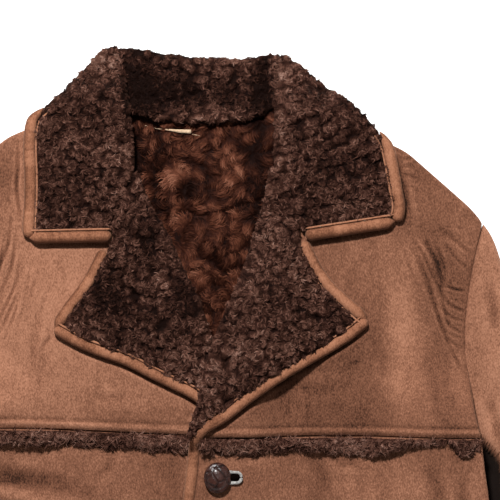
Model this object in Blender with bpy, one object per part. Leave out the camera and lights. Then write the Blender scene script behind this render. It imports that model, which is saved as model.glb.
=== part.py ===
"""Shearling coat, laid flat on its back: front up, collar towards +Y, wearer's left at +X.

The tables hold millimetres in the plan of the laid coat. Every panel is a slab of skin and pile
lofted through its rows, and it lies on whatever was laid before it.
"""

import math

import bmesh
import bpy
from mathutils import Vector
from mathutils.bvhtree import BVHTree

MM = 0.001
WALL = 9.0                # skin and pile of a body panel
COLLAR_WALL = 11.0        # the collar's pile is left longer
SEAM_GAP = 0.3            # between two pieces that are sewn edge to edge
LAY_GAP = 0.5             # between a layer and what it lies on
LAY_SLACK = 0.05          # added to that gap for each mm that the pile below rises over one layer
BINDING_RADIUS = 4.5
BINDING_STEP = BINDING_RADIUS + SEAM_GAP
ROLL_SETBACK = 5.0        # from a lapel's roll line to the yoke's edge inside the fold
TABLE_TO_ORIGIN = (0.0, 1.4)  # brings the middle of the laid coat to the origin

# How the wearer's right side was laid: turned up a little, and fanned out towards the shoulder.
RIGHT_SKEW = 0.045
RIGHT_FAN = 0.03
FAN_START = 75.0
FAN_LENGTH = 265.0

YOKE_SEAM = 75.0
HEM = -419.0
UNDERARM = 76.7

# Body side from the hem to the underarm, then the armhole to the shoulder tip. Columns: y, x.
SIDE = [(HEM, 278.0), (-300.0, 272.0), (-200.0, 266.0), (-100.0, 260.0), (-32.0, 256.0),
        (18.0, 252.5), (50.0, 248.0), (UNDERARM, 245.3)]
ARMHOLE = [(UNDERARM, 245.3), (92.6, 241.0), (121.0, 238.0), (142.7, 235.3), (171.5, 233.9),
           (185.8, 234.6), (221.7, 239.6), (243.0, 243.9), (267.0, 249.5)]
# Shoulder seam from the neck to the tip. Columns: x, y.
SHOULDER = [(80.0, 372.0), (125.0, 356.0), (168.0, 338.0), (181.0, 331.5), (193.5, 320.5),
            (218.0, 299.0), (239.4, 280.0), (249.5, 267.0)]
# Back neck seam. Columns: x, y.
BACK_NECK = [(0.0, 347.0), (50.0, 352.0), (64.0, 358.0), (80.0, 372.0)]

# Fold lines of the lapels, carried on up the neck edge. Columns: y, x.
ROLL_LEFT = [(75.0, -12.0), (105.0, -8.5), (130.0, -4.0), (166.0, 7.2), (184.7, 15.3),
             (209.0, 25.7), (228.0, 32.9), (252.0, 41.4), (277.0, 48.6), (299.0, 54.0),
             (330.0, 68.0), (372.0, 75.0)]
ROLL_RIGHT = [(75.0, 26.0), (100.0, 22.0), (130.0, 14.0), (166.0, 4.5), (184.7, -2.0),
              (199.0, -7.0), (213.5, -16.0), (231.5, -24.0), (252.0, -33.0), (269.0, -42.0),
              (286.0, -52.0), (305.0, -63.0), (330.0, -70.0), (372.0, -75.0)]

# Where the body's panels have a row below the underarm, in y.
BODY_SECTIONS = (HEM, -370.0, -320.0, -275.0, -235.0, -200.0, -165.0, -130.0, -90.0, -50.0, -10.0,
                 25.0, 52.0)
# Front edge of the wearer's left front, which lies on top. Columns: y, x.
FRONT_EDGE = [(HEM, -27.0), (-320.0, -26.0), (-200.0, -24.0), (-80.0, -19.0), (18.0, -12.0),
              (39.0, -9.0), (74.0, -6.0)]
OVERLAP = 52.0            # from the top front's edge to the one under it
EDGE_TO_BUTTON = 18.5

# Lapel leaves, one row for each section. Columns: y, x of the fold, x of the bound edge.
LAPEL_LEFT = [(88.0, -11.0, -2.0), (100.0, -9.3, 14.4), (118.4, -6.2, 38.7), (137.0, -1.8, 67.5),
              (157.0, 4.5, 103.0), (170.0, 9.0, 124.0), (180.2, 13.3, 136.8), (190.0, 17.6, 124.8),
              (205.9, 24.3, 107.6), (220.0, 30.0, 97.0), (235.0, 35.3, 88.8), (249.0, 40.2, 82.4),
              (266.0, 45.5, 75.0), (283.0, 50.2, 67.5), (297.0, 53.5, 61.0)]
LAPEL_RIGHT = [(94.0, 23.0, 14.0), (104.0, 21.0, 5.0), (117.2, 17.5, -8.4), (134.3, 12.8, -43.2),
               (148.7, 9.0, -71.6), (161.3, 5.6, -106.2), (174.0, 2.0, -130.5),
               (190.0, -4.0, -121.8), (203.0, -9.0, -107.4), (214.4, -16.4, -102.0),
               (223.4, -20.4, -94.5), (240.5, -28.0, -85.9), (256.7, -35.5, -80.0),
               (275.0, -45.5, -73.5), (293.0, -56.0, -67.0)]

# Collar, from the right leaf's end round the back of the neck to the left leaf's end.
# Columns: inner x, y, outer x, y, how far the fold stands up at the inner end.
COLLAR = [
    (-84.5, 261.0, -155.5, 259.5, 0.0), (-77.0, 279.0, -155.0, 272.0, 0.0),
    (-70.0, 297.0, -154.0, 290.0, 2.0), (-64.5, 316.0, -154.0, 312.0, 4.0),
    (-66.0, 338.0, -154.8, 337.0, 5.0), (-68.0, 355.0, -153.3, 357.0, 6.0),
    (-70.0, 368.0, -147.0, 371.0, 6.0), (-71.5, 380.0, -129.0, 388.0, 5.0),
    (-73.5, 392.0, -112.0, 405.0, 4.0), (-75.0, 402.0, -98.0, 424.0, 2.0),
    (-75.5, 409.0, -82.0, 428.5, 0.0), (-60.0, 360.0, -60.0, 425.5, 0.0),
    (-40.0, 356.0, -40.0, 421.0, 0.0), (-14.0, 353.0, -14.0, 417.0, 0.0),
    (14.0, 353.0, 14.0, 417.0, 0.0), (36.0, 355.0, 38.0, 416.0, 0.0),
    (50.0, 360.0, 50.0, 419.0, 0.0), (56.5, 404.0, 62.0, 420.5, 0.0),
    (58.0, 398.0, 76.0, 417.5, 2.0), (60.0, 389.0, 94.0, 401.0, 4.0),
    (60.5, 378.0, 112.0, 388.0, 5.0), (61.0, 366.0, 135.0, 371.0, 6.0),
    (61.0, 351.0, 155.0, 350.0, 6.0), (60.5, 335.0, 159.0, 332.0, 5.0),
    (60.0, 318.0, 163.0, 311.0, 4.0), (64.5, 302.0, 166.0, 294.0, 2.0),
    (71.0, 286.0, 168.0, 283.0, 0.0), (78.5, 271.0, 167.5, 277.0, 0.0),
    (86.0, 261.0, 166.0, 273.5, 0.0),
]
COLLAR_BOUND_ROWS = 6     # rows at each end whose outer end is a bound edge

# Sleeve from the armhole to the cuff, the upper arm's inner edge tucked under the body.
# Columns: inner x, y, outer x, y, height of the inner half, height of the outer half.
SLEEVE = [
    (246.5, 74.0, 250.3, 266.5, 18.0, 19.0), (253.5, 60.0, 259.0, 255.0, 18.0, 21.0),
    (253.5, 46.0, 265.0, 236.0, 18.0, 23.0), (245.0, 32.0, 273.0, 213.0, 18.0, 25.0),
    (239.0, 16.0, 284.0, 186.0, 18.0, 26.0), (230.0, 0.0, 300.0, 150.0, 18.0, 27.0),
    (216.0, -18.0, 320.0, 107.0, 18.0, 27.0), (212.0, -40.0, 341.0, 62.0, 18.0, 27.0),
    (216.0, -70.0, 362.0, 17.0, 18.0, 26.0), (233.0, -104.0, 383.0, -28.0, 18.0, 25.0),
    (257.0, -143.0, 404.0, -73.0, 19.0, 24.0), (281.0, -185.0, 425.0, -118.0, 21.0, 23.0),
    (304.6, -229.0, 446.0, -163.0, 21.0, 22.0), (328.0, -272.7, 467.0, -208.0, 21.0, 21.0),
    (351.0, -316.8, 488.0, -253.0, 20.0, 20.0), (368.0, -351.4, 504.0, -288.0, 20.0, 20.0),
]
ARMHOLE_BOW = -12.5       # the armhole curves in towards the body half way up
SLEEVE_SLIT = 1.2         # the two layers of a sleeve lie this far apart inside
TUCK_TOP = 62.0           # above this line nothing of the sleeve is under the body

BUTTON_ROWS = (39.0, -80.0, -199.0, -318.0)
BUTTON_RADIUS = 14.0
BUTTON_HEIGHT = 9.0
BUTTONHOLE_LENGTH = 25.0
BUTTONHOLE_WIDTH = 9.0
BUTTONHOLE_RIM = 1.2
BUTTONHOLE_SHIFT = 9.5    # the hole runs inwards from the button
SLOT_LENGTH = 17.0
SLOT_WIDTH = 2.4
TRIM_WIDTH = 14.0
TRIM_HEIGHT = 4.0
LABEL_SIZE = (25.0, 3.0, 0.8)
LABEL_PLACE = (-25.0, 343.5)


# ---------------------------------------------------------------- tables and plans

def at(table, key, column=1):
    """The table's value at a key, on straight lines between its rows."""
    if key <= table[0][0]:
        return table[0][column]
    for low, high in zip(table, table[1:]):
        if key <= high[0]:
            part = (key - low[0]) / (high[0] - low[0])
            return low[column] + part * (high[column] - low[column])
    return table[-1][column]


def between(first, last, part):
    return tuple(a + part * (b - a) for a, b in zip(first, last))


def spread(low, high, count):
    return [low + (high - low) * step / (count - 1) for step in range(count)]


def laid(x, y):
    """Where a point of the even pattern lies: the wearer's right side is turned and fanned."""
    if x >= 0.0:
        return (x, y)
    return (x, y - x * (RIGHT_SKEW + RIGHT_FAN * (y - FAN_START) / FAN_LENGTH))


def chain(points, count):
    """The polyline through the points, cut into even steps."""
    lengths = [0.0]
    for first, last in zip(points, points[1:]):
        lengths.append(lengths[-1] + math.dist(first, last))
    table = [(length, *point) for length, point in zip(lengths, points)]
    return [(at(table, s, 1), at(table, s, 2)) for s in spread(0.0, lengths[-1], count)]


def patch(bottom, top, left, right):
    """Rows of plan points filling four edges: bottom and top run across, left and right up."""
    rows = []
    for j, (west, east) in enumerate(zip(left, right)):
        v = j / (len(left) - 1)
        row = []
        for i, (south, north) in enumerate(zip(bottom, top)):
            u = i / (len(bottom) - 1)
            across = between(west, east, u)
            up = between(south, north, v)
            corners = between(between(left[0], right[0], u), between(left[-1], right[-1], u), v)
            row.append(tuple(a + b - c for a, b, c in zip(across, up, corners)))
        rows.append(row)
    return rows


def moved_out(points, distance):
    """The plan path beside another one, at its right hand for a positive distance."""
    path = []
    for index, point in enumerate(points):
        before = points[max(index - 1, 0)]
        after = points[min(index + 1, len(points) - 1)]
        run = Vector((after[0] - before[0], after[1] - before[1])).normalized()
        path.append((point[0] + run.y * distance, point[1] - run.x * distance))
    return path


# ---------------------------------------------------------------- the pile of layers

class Pile:
    """The layers laid so far. It says how high a new one has to lie."""

    def __init__(self):
        self.trees = {}

    def add(self, name, points, faces):
        self.trees[name] = BVHTree.FromPolygons(points, faces)

    def height(self, x, y, names, reach, slack=0.0):
        spots = [(x, y)]
        for ring in (0.25, 0.5, 0.75, 1.0):
            for turn in range(16):
                angle = turn * math.tau / 16
                spots.append((x + ring * reach * math.cos(angle), y + ring * reach * math.sin(angle)))
        highest = 0.0
        for name in names:
            for spot in spots:
                hit = self.trees[name].ray_cast(Vector((*spot, 500.0)), Vector((0.0, 0.0, -1.0)))[0]
                if hit is not None:
                    highest = max(highest, hit.z)
        if highest == 0.0:
            return 0.0
        return highest + LAY_GAP + slack * max(highest - WALL, 0.0)


pile = Pile()


def placed(point):
    return ((point[0] + TABLE_TO_ORIGIN[0]) * MM, (point[1] + TABLE_TO_ORIGIN[1]) * MM, point[2] * MM)


def add_piece(name, points, faces, finish):
    """A named solid from points in table millimetres."""
    mesh = bpy.data.meshes.new(name)
    mesh.from_pydata([placed(point) for point in points], [], faces)
    work = bmesh.new()
    work.from_mesh(mesh)
    bmesh.ops.recalc_face_normals(work, faces=work.faces)
    bmesh.ops.triangulate(work, faces=work.faces)
    work.to_mesh(mesh)
    work.free()
    mesh.materials.append(finish)
    piece = bpy.data.objects.new(name, mesh)
    coat.objects.link(piece)
    mesh.shade_smooth()
    mesh.set_sharp_from_angle(angle=math.radians(40.0))
    pile.add(name, points, faces)
    return piece


def slab(name, rows, low, high, finish):
    """A panel: rows of plan points, with the height of its underside and top at each."""
    across = len(rows[0])
    count = len(rows) * across
    points = [(*point, low[j][i]) for j, row in enumerate(rows) for i, point in enumerate(row)]
    points += [(*point, high[j][i]) for j, row in enumerate(rows) for i, point in enumerate(row)]
    faces = []
    for j in range(len(rows) - 1):
        for i in range(across - 1):
            a = j * across + i
            faces.append((a, a + across, a + across + 1, a + 1))
            faces.append(tuple(count + k for k in (a, a + 1, a + across + 1, a + across)))
    rim = [i for i in range(across)]
    rim += [j * across + across - 1 for j in range(1, len(rows))]
    rim += [(len(rows) - 1) * across + i for i in range(across - 2, -1, -1)]
    rim += [j * across for j in range(len(rows) - 2, 0, -1)]
    for a, b in zip(rim, rim[1:] + rim[:1]):
        faces.append((a, b, b + count, a + count))
    return add_piece(name, points, faces, finish)


def beside(low, high):
    """The height of a binding's middle beside an edge: half way up it, and clear of what is below."""
    return max((low + high) / 2, low + BINDING_RADIUS)


def laid_slab(name, rows, names, reach, finish, wall=lambda j, i: WALL):
    low = [[pile.height(x, y, names, reach, LAY_SLACK) for x, y in row] for row in rows]
    high = [[z + wall(j, i) for i, z in enumerate(row)] for j, row in enumerate(low)]
    slab(name, rows, low, high, finish)
    return [[beside(a, b) for a, b in zip(*pair)] for pair in zip(low, high)]


def roll(name, path, finish, closed=False):
    """A round binding along a path of (x, y, z)."""
    curve = bpy.data.curves.new(name + "_path", "CURVE")
    curve.dimensions = "3D"
    curve.bevel_depth = BINDING_RADIUS * MM
    curve.bevel_resolution = 2
    curve.use_fill_caps = True
    spline = curve.splines.new("POLY")
    spline.points.add(len(path) - 1)
    for point, place in zip(spline.points, path):
        point.co = (*placed(place), 1.0)
    spline.use_cyclic_u = closed
    guide = bpy.data.objects.new(name + "_guide", curve)
    bpy.context.scene.collection.objects.link(guide)
    graph = bpy.context.evaluated_depsgraph_get()
    mesh = bpy.data.meshes.new_from_object(guide.evaluated_get(graph))
    mesh.name = name
    work = bmesh.new()
    work.from_mesh(mesh)
    bmesh.ops.remove_doubles(work, verts=work.verts, dist=1e-6)
    bmesh.ops.recalc_face_normals(work, faces=work.faces)
    work.to_mesh(mesh)
    work.free()
    bpy.data.objects.remove(guide)
    mesh.materials.clear()
    mesh.materials.append(finish)
    mesh.shade_smooth()
    piece = bpy.data.objects.new(name, mesh)
    coat.objects.link(piece)
    shift = Vector((*TABLE_TO_ORIGIN, 0.0))
    points = [vertex.co / MM - shift for vertex in mesh.vertices]
    pile.add(name, points, [tuple(face.vertices) for face in mesh.polygons])
    return piece


def bound(name, edge, heights, distance, finish):
    """A binding beside a slab's edge, at the middle of its thickness."""
    path = [(*point, z) for point, z in zip(moved_out(edge, distance), heights)]
    return roll(name, path, finish)


# ---------------------------------------------------------------- materials

def material(name, colour, roughness):
    made = bpy.data.materials.new(name)
    made.use_nodes = True
    shader = made.node_tree.nodes["Principled BSDF"]
    shader.inputs["Base Color"].default_value = (*colour, 1.0)
    shader.inputs["Roughness"].default_value = roughness
    shader.inputs["Metallic"].default_value = 0.0
    return made


# ---------------------------------------------------------------- pieces

def sleeve(name, side, finish):
    """A flattened tube, open at the armhole and the cuff, with a thin slit between its layers."""
    tops = (0.0, 0.07, 0.2, 0.38, 0.56, 0.74, 0.9, 1.0)
    rises = (0.5, 0.86, 1.0, 1.0, 1.0, 1.0, 0.88, 0.5)
    points = []
    ring_size = 2 * (2 * len(tops) - 2)
    for index, (ix, iy, ox, oy, inner_height, outer_height) in enumerate(SLEEVE):
        fade = max(0.0, 1.0 - index / 3)
        outer_ring = []
        slit_ring = []
        for t, rise in zip(tops, rises):
            height = inner_height + (outer_height - inner_height) * min(1.0, t / 0.7)
            bow = ARMHOLE_BOW * fade * 4 * t * (1 - t)
            x, y = between((ix + bow, iy), (ox + bow, oy), t)
            slit_t = 0.06 + 0.88 * t
            slit_bow = ARMHOLE_BOW * fade * 4 * slit_t * (1 - slit_t)
            sx, sy = between((ix + slit_bow, iy), (ox + slit_bow, oy), slit_t)
            middle = height * 0.5
            outer_ring.append((x, y, height * rise, middle))
            slit_ring.append((sx, sy, middle))
        top = [(x, y, z) for x, y, z, _ in outer_ring]
        under = [(x, y, 0.0) for x, y, _, _ in outer_ring[-2:0:-1]]
        slit_top = [(x, y, z + SLEEVE_SLIT / 2) for x, y, z in slit_ring]
        slit_under = [(x, y, z - SLEEVE_SLIT / 2) for x, y, z in slit_ring[-2:0:-1]]
        for x, y, z in top + under + slit_top + slit_under:
            plan = (x, y) if side > 0 else laid(-x, y)
            points.append((*plan, z))
    half = ring_size // 2
    faces = []
    last = (len(SLEEVE) - 1) * ring_size
    for k in range(half):
        n = (k + 1) % half
        for index in range(len(SLEEVE) - 1):
            a = index * ring_size
            b = a + ring_size
            faces.append((a + k, a + n, b + n, b + k))
            faces.append((a + half + k, b + half + k, b + half + n, a + half + n))
        faces.append((k, half + k, half + n, n))
        faces.append((last + k, last + n, last + half + n, last + half + k))
    return add_piece(name, points, faces, finish)


def cuff_binding(name, side, finish):
    ix, iy, ox, oy, _, height = SLEEVE[-1]
    out = Vector((oy - iy, ix - ox)).normalized() * (BINDING_STEP + 0.4)
    low = BINDING_RADIUS
    high = height - BINDING_RADIUS
    path = []
    for t in spread(0.04, 0.96, 8):
        path.append((*between((ix, iy), (ox, oy), t), high))
    for t in spread(0.96, 0.04, 8):
        path.append((*between((ix, iy), (ox, oy), t), low))
    turned = []
    for x, y, z in path:
        x, y = x + out.x, y + out.y
        plan = (x, y) if side > 0 else laid(-x, y)
        turned.append((*plan, z))
    roll(name, turned, finish, closed=True)


def back(finish):
    """One piece from side to side, its top cut to the shoulders and the back neck."""
    edge = [(at(SIDE, y), y) for y in BODY_SECTIONS] + chain([(x, y) for y, x in ARMHOLE], 7)
    edge = [(x - SEAM_GAP, y) for x, y in edge]
    across = [-1.0, -0.9, -0.75, -0.6, -0.45, -0.32, -0.2, -0.07]
    across += [-u for u in reversed(across)]
    rows = []
    low_y, tip_y = edge[0][1], edge[-1][1]
    for x_side, y_side in edge:
        v = (y_side - low_y) / (tip_y - low_y)
        row = []
        for u in across:
            x = u * x_side
            reach = abs(u) * edge[-1][0]
            top = at(BACK_NECK, reach) if reach < SHOULDER[0][0] else at(SHOULDER, reach)
            row.append(laid(x, low_y + v * (top - low_y)))
        rows.append(row)
    low = []
    for (_, y_side), row in zip(edge, rows):
        names = ["sleeve_left", "sleeve_right"] if y_side < TUCK_TOP else []
        low.append([pile.height(x, y, names, 30.0) for x, y in row])
    high = [[z + WALL for z in row] for row in low]
    slab("back", rows, low, high, finish)
    middles = [beside(a, b) for a, b in zip(low[0], high[0])]
    bound("binding_hem_back", rows[0], middles, BINDING_STEP, MATERIALS["binding"])


def front_edge(y, side):
    return at(FRONT_EDGE, y) + (0.0 if side > 0 else OVERLAP)


def front_lower(name, side, names, finish):
    """A front below its yoke, from the bound front edge to the side seam."""
    rows = []
    for y in [*BODY_SECTIONS, YOKE_SEAM - SEAM_GAP]:
        inner = (front_edge(y, side), y)
        outer = (side * at(SIDE, y), y)
        row = [between(inner, outer, u) for u in spread(0.0, 1.0, 12)]
        rows.append([laid(*point) for point in row])
    last = len(rows) - 1
    pressed = {last: 6.0, last - 1: 7.5}
    middles = laid_slab(name, rows, names, 40.0, finish, lambda j, i: pressed.get(j, WALL))
    label = name.replace("front_lower", "binding_front")
    edge = [row[0] for row in rows]
    bound(label, edge, [row[0] for row in middles], -side * BINDING_STEP, MATERIALS["binding"])
    label = name.replace("front_lower", "binding_hem")
    bound(label, rows[0][1:], middles[0][1:], side * BINDING_STEP, MATERIALS["binding"])
    return rows


def yoke(name, side, fold, names, finish):
    """The upper front: yoke seam, armhole, shoulder seam, and the edge inside the lapel's fold."""
    up = 11
    inner = [(x + side * ROLL_SETBACK, y) for y, x in fold]
    inner[-1] = (side * SHOULDER[0][0], SHOULDER[0][1])
    armhole = [(side * (x - SEAM_GAP), y) for y, x in ARMHOLE]
    armhole[0] = (armhole[0][0], YOKE_SEAM)
    shoulder = [(side * x, y) for x, y in SHOULDER]
    shoulder[-1] = armhole[-1]
    left = chain(inner, up)
    right = chain(armhole, up)
    bottom = chain([left[0], right[0]], 11)
    top = chain([left[-1]] + shoulder[1:], 11)
    rows = [[laid(*point) for point in row] for row in patch(bottom, top, left, right)]
    laid_slab(name, rows, names, 34.0, finish)
    return rows


def lapel(name, side, table, names, finish):
    """A leaf of the front turned back on the yoke, wool up."""
    rows = []
    for y, fold, edge in table:
        rows.append([between((fold, y), (edge, y), u) for u in (0.0, 0.2, 0.45, 0.72, 1.0)])
    middles = laid_slab(name, rows, names, 26.0, finish)
    edge = [row[-1] for row in rows]
    heights = [row[-1] for row in middles]
    tip = max(range(len(edge)), key=lambda k: side * edge[k][0])
    notch = len(edge) - 5
    # The binding runs round the leaf's tip, which is cut back so that it doesn't fold on itself.
    path = moved_out(edge[:tip], side * BINDING_STEP)
    point = (edge[tip][0] + side * 1.3 * BINDING_STEP, edge[tip][1])
    path += [(point[0], point[1] - 1.5), (point[0], point[1] + 1.5)]
    path += moved_out(edge[tip + 1:notch + 1], side * BINDING_STEP)
    zs = heights[:tip] + [heights[tip]] * 2 + heights[tip + 1:notch + 1]
    roll(name.replace("lapel", "binding_lapel"), [(*p, z) for p, z in zip(path, zs)],
         MATERIALS["binding"])


def collar(finish):
    """Stand and fall as one folded piece: the leaves lie on the yokes, the back on the ground."""
    across = (0.0, 0.12, 0.35, 0.6, 0.82, 1.0)
    swell = (0.55, 0.95, 1.0, 1.0, 0.95, 0.85)
    rows = [[between(row[0:2], row[2:4], u) for u in across] for row in COLLAR]
    names = ["back", "yoke_left", "yoke_right"]
    low = [[pile.height(x, y, names, 20.0) for x, y in row] for row in rows]
    high = []
    for j, row in enumerate(low):
        stand = min(abs(j - 14) / 4, 1.0)
        wall = COLLAR_WALL + (1.0 - stand) * 4.0
        fold = COLLAR[j][4]
        high.append([z + wall * s + fold * max(0.0, 1.0 - u / 0.6) for z, s, u in
                     zip(row, swell, across)])
    slab("collar", rows, low, high, finish)
    count = COLLAR_BOUND_ROWS
    last = len(rows) - 1
    for name, ends, end_row, turn in (
        ("binding_collar_right", range(count - 1, 0, -1), 0, 1.0),
        ("binding_collar_left", range(last - count + 1, last), last, -1.0),
    ):
        edge = [rows[j][-1] for j in ends] + [rows[end_row][i] for i in (5, 4, 3, 2)]
        mids = [beside(low[j][-1], high[j][-1]) for j in ends]
        mids += [beside(low[end_row][i], high[end_row][i]) for i in (5, 4, 3, 2)]
        path = moved_out(edge, turn * (BINDING_STEP + 2 * SEAM_GAP))
        roll(name, [(*p, z) for p, z in zip(path, mids)], MATERIALS["binding"])


def trim(name, side, front_rows, finish):
    """Wool showing under the yoke's raw edge, a plain strip on the front just below the seam."""
    seam = front_rows[-1][(1 if side > 0 else 2):-1]
    seam = [seam[0]] + chain(seam[1:], 9) + [seam[-1]]
    seam = chain(seam, 11)
    rows = [[(x, y - TRIM_WIDTH) for x, y in seam], [(x, y - TRIM_WIDTH / 2) for x, y in seam],
            [(x, y - SEAM_GAP) for x, y in seam]]
    names = ["front_lower_left" if side > 0 else "front_lower_right"]
    laid_slab(name, rows, names, 14.0, finish, lambda j, i: (2.0, TRIM_HEIGHT, 3.0)[j])


def stadium(x, y, length, width, turns=6):
    """The plan outline of a slot with round ends."""
    straight = (length - width) / 2
    outline = []
    for centre, start in ((x + straight, -90.0), (x - straight, 90.0)):
        for turn in range(turns + 1):
            angle = math.radians(start + 180.0 * turn / turns)
            outline.append((centre + width / 2 * math.cos(angle), y + width / 2 * math.sin(angle)))
    return outline


def buttonhole(number, y, panel, finish):
    """A bound slot through the top front, its rim standing on the panel. Returns the rim's top."""
    x = front_edge(y, 1) + EDGE_TO_BUTTON + BUTTONHOLE_SHIFT
    base = pile.height(x, y, ["front_lower_left"], BUTTONHOLE_LENGTH / 2)
    outer = stadium(x, y, BUTTONHOLE_LENGTH, BUTTONHOLE_WIDTH)
    inner = stadium(x, y, SLOT_LENGTH + SEAM_GAP, SLOT_WIDTH + SEAM_GAP)
    count = len(outer)
    points = [(*p, z) for z in (base, base + BUTTONHOLE_RIM) for ring in (outer, inner) for p in ring]
    faces = []
    for k in range(count):
        n = (k + 1) % count
        for a, b in ((0, 1), (1, 3), (3, 2), (2, 0)):
            faces.append((a * count + k, a * count + n, b * count + n, b * count + k))
    add_piece(f"buttonhole_{number}", points, faces, finish)
    cutter = bpy.data.meshes.new(f"slot_{number}")
    work = bmesh.new()
    bmesh.ops.create_cube(work, size=1.0)
    bmesh.ops.scale(work, verts=work.verts,
                    vec=(SLOT_LENGTH * MM, SLOT_WIDTH * MM, 2.0 * WALL * MM))
    bmesh.ops.translate(work, verts=work.verts, vec=placed((x, y, base - LAY_GAP - WALL / 2)))
    work.to_mesh(cutter)
    work.free()
    slot = bpy.data.objects.new(f"slot_{number}", cutter)
    slot.hide_render = True
    slot.display_type = "WIRE"
    cutters.objects.link(slot)
    cut = panel.modifiers.new(f"slot_{number}", "BOOLEAN")
    cut.operation = "DIFFERENCE"
    cut.solver = "EXACT"
    cut.object = slot
    return base + BUTTONHOLE_RIM


def button(number, y, rim_top, finish):
    """A domed button lying on the buttonhole's outer end."""
    x = front_edge(y, 1) + EDGE_TO_BUTTON
    base = rim_top + SEAM_GAP
    profile = [(0.0, 0.0), (0.8, 0.0), (1.0, 0.22), (0.94, 0.5), (0.75, 0.78), (0.42, 0.95),
               (0.0, 1.0)]
    sides = 20
    points = [(x, y, base), (x, y, base + BUTTON_HEIGHT)]
    for radius, height in profile[1:-1]:
        for turn in range(sides):
            angle = turn * math.tau / sides
            points.append((x + BUTTON_RADIUS * radius * math.cos(angle),
                           y + BUTTON_RADIUS * radius * math.sin(angle),
                           base + BUTTON_HEIGHT * height))
    faces = []
    rings = len(profile) - 2
    for turn in range(sides):
        after = (turn + 1) % sides
        faces.append((0, 2 + after, 2 + turn))
        top = 2 + (rings - 1) * sides
        faces.append((1, top + turn, top + after))
        for ring in range(rings - 1):
            a = 2 + ring * sides
            faces.append((a + turn, a + after, a + sides + after, a + sides + turn))
    add_piece(f"button_{number}", points, faces, finish)


def label(finish):
    """The stub of a torn-off neck label, caught in the neck seam."""
    width, depth, thick = LABEL_SIZE
    x, y = LABEL_PLACE
    rows = [[(x - width / 2, y - depth / 2), (x + width / 2, y - depth / 2)],
            [(x - width / 2, y + depth / 2), (x + width / 2, y + depth / 2)]]
    laid_slab("label_stub", rows, ["back"], 4.0, finish, lambda j, i: thick)


# ---------------------------------------------------------------- the coat

for old in list(bpy.data.objects):
    bpy.data.objects.remove(old)
coat = bpy.data.collections.new("shearling_coat")
bpy.context.scene.collection.children.link(coat)
cutters = bpy.data.collections.new("cutters")
bpy.context.scene.collection.children.link(cutters)

MATERIALS = {
    "suede": material("suede", (0.22, 0.085, 0.035), 0.85),
    "wool": material("wool", (0.045, 0.018, 0.009), 0.95),
    "binding": material("binding_suede", (0.24, 0.1, 0.045), 0.8),
    "button": material("button_leather", (0.08, 0.018, 0.012), 0.35),
    "buttonhole": material("buttonhole_thread", (0.16, 0.15, 0.14), 0.8),
    "label": material("label_tape", (0.45, 0.27, 0.13), 0.9),
}

for side_name, sign in (("left", 1), ("right", -1)):
    sleeve("sleeve_" + side_name, sign, MATERIALS["suede"])
    cuff_binding("binding_cuff_" + side_name, sign, MATERIALS["binding"])
back(MATERIALS["suede"])

under = ["back"]
right_rows = front_lower("front_lower_right", -1, under, MATERIALS["suede"])
yoke("yoke_right", -1, ROLL_RIGHT, under, MATERIALS["suede"])
trim("yoke_trim_right", -1, right_rows, MATERIALS["wool"])
lapel("lapel_right", -1, LAPEL_RIGHT, ["back", "yoke_right", "front_lower_right"],
      MATERIALS["wool"])

under = ["back", "front_lower_right", "binding_front_right", "yoke_right", "yoke_trim_right"]
left_rows = front_lower("front_lower_left", 1, under, MATERIALS["suede"])
under += ["lapel_right", "binding_lapel_right"]
yoke("yoke_left", 1, ROLL_LEFT, under, MATERIALS["suede"])
trim("yoke_trim_left", 1, left_rows, MATERIALS["wool"])
lapel("lapel_left", 1, LAPEL_LEFT, under + ["yoke_left", "front_lower_left", "yoke_trim_left"],
      MATERIALS["wool"])

collar(MATERIALS["wool"])
top_front = bpy.data.objects["front_lower_left"]
for number, row_y in enumerate(BUTTON_ROWS, start=1):
    rim = buttonhole(number, row_y, top_front, MATERIALS["buttonhole"])
    button(number, row_y, rim, MATERIALS["button"])
label(MATERIALS["label"])
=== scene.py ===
import math

import bpy
import numpy as np
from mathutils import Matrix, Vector
from mathutils.bvhtree import BVHTree


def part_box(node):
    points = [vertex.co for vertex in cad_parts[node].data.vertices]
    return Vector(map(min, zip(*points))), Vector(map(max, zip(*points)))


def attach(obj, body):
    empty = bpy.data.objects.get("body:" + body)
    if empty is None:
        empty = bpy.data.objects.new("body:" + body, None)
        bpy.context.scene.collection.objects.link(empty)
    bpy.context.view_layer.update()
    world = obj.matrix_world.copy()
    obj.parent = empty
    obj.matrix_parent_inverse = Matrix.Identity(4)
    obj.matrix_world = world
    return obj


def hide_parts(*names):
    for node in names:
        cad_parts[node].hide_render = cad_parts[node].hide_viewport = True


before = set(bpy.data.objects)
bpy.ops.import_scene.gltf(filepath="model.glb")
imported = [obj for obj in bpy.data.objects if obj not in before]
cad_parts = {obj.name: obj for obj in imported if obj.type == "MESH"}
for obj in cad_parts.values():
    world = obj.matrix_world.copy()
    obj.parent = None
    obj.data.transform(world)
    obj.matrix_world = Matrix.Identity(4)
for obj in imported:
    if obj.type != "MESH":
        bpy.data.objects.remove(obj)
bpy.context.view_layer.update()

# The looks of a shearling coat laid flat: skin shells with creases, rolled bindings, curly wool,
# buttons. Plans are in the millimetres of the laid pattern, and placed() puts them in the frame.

MM = 0.001
ORIGIN = np.array([0.0, 1.4])   # from the pattern's zero to the frame's
SIDES = (("left", 1), ("right", -1))    # the wearer's sides, and which way x runs on each
SEAM_GAP = 0.3                  # between pieces sewn edge to edge
BINDING_RADIUS = 5.2
BINDING_OFFSET = 4.6            # from a panel's edge to the middle of its binding
BINDING_LIFT = 0.3
LIP_RADIUS = 0.95
LIP_HEIGHT = 4.2                # the lip's middle above the binding's
MITRE = 11.0                    # a roll that starts at a corner grows over this run
LAPEL_BINDING_RADIUS = 5.4
COLLAR_BINDING_RADIUS = 5.7
COLLAR_BINDING_OFFSET = 5.0
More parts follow.
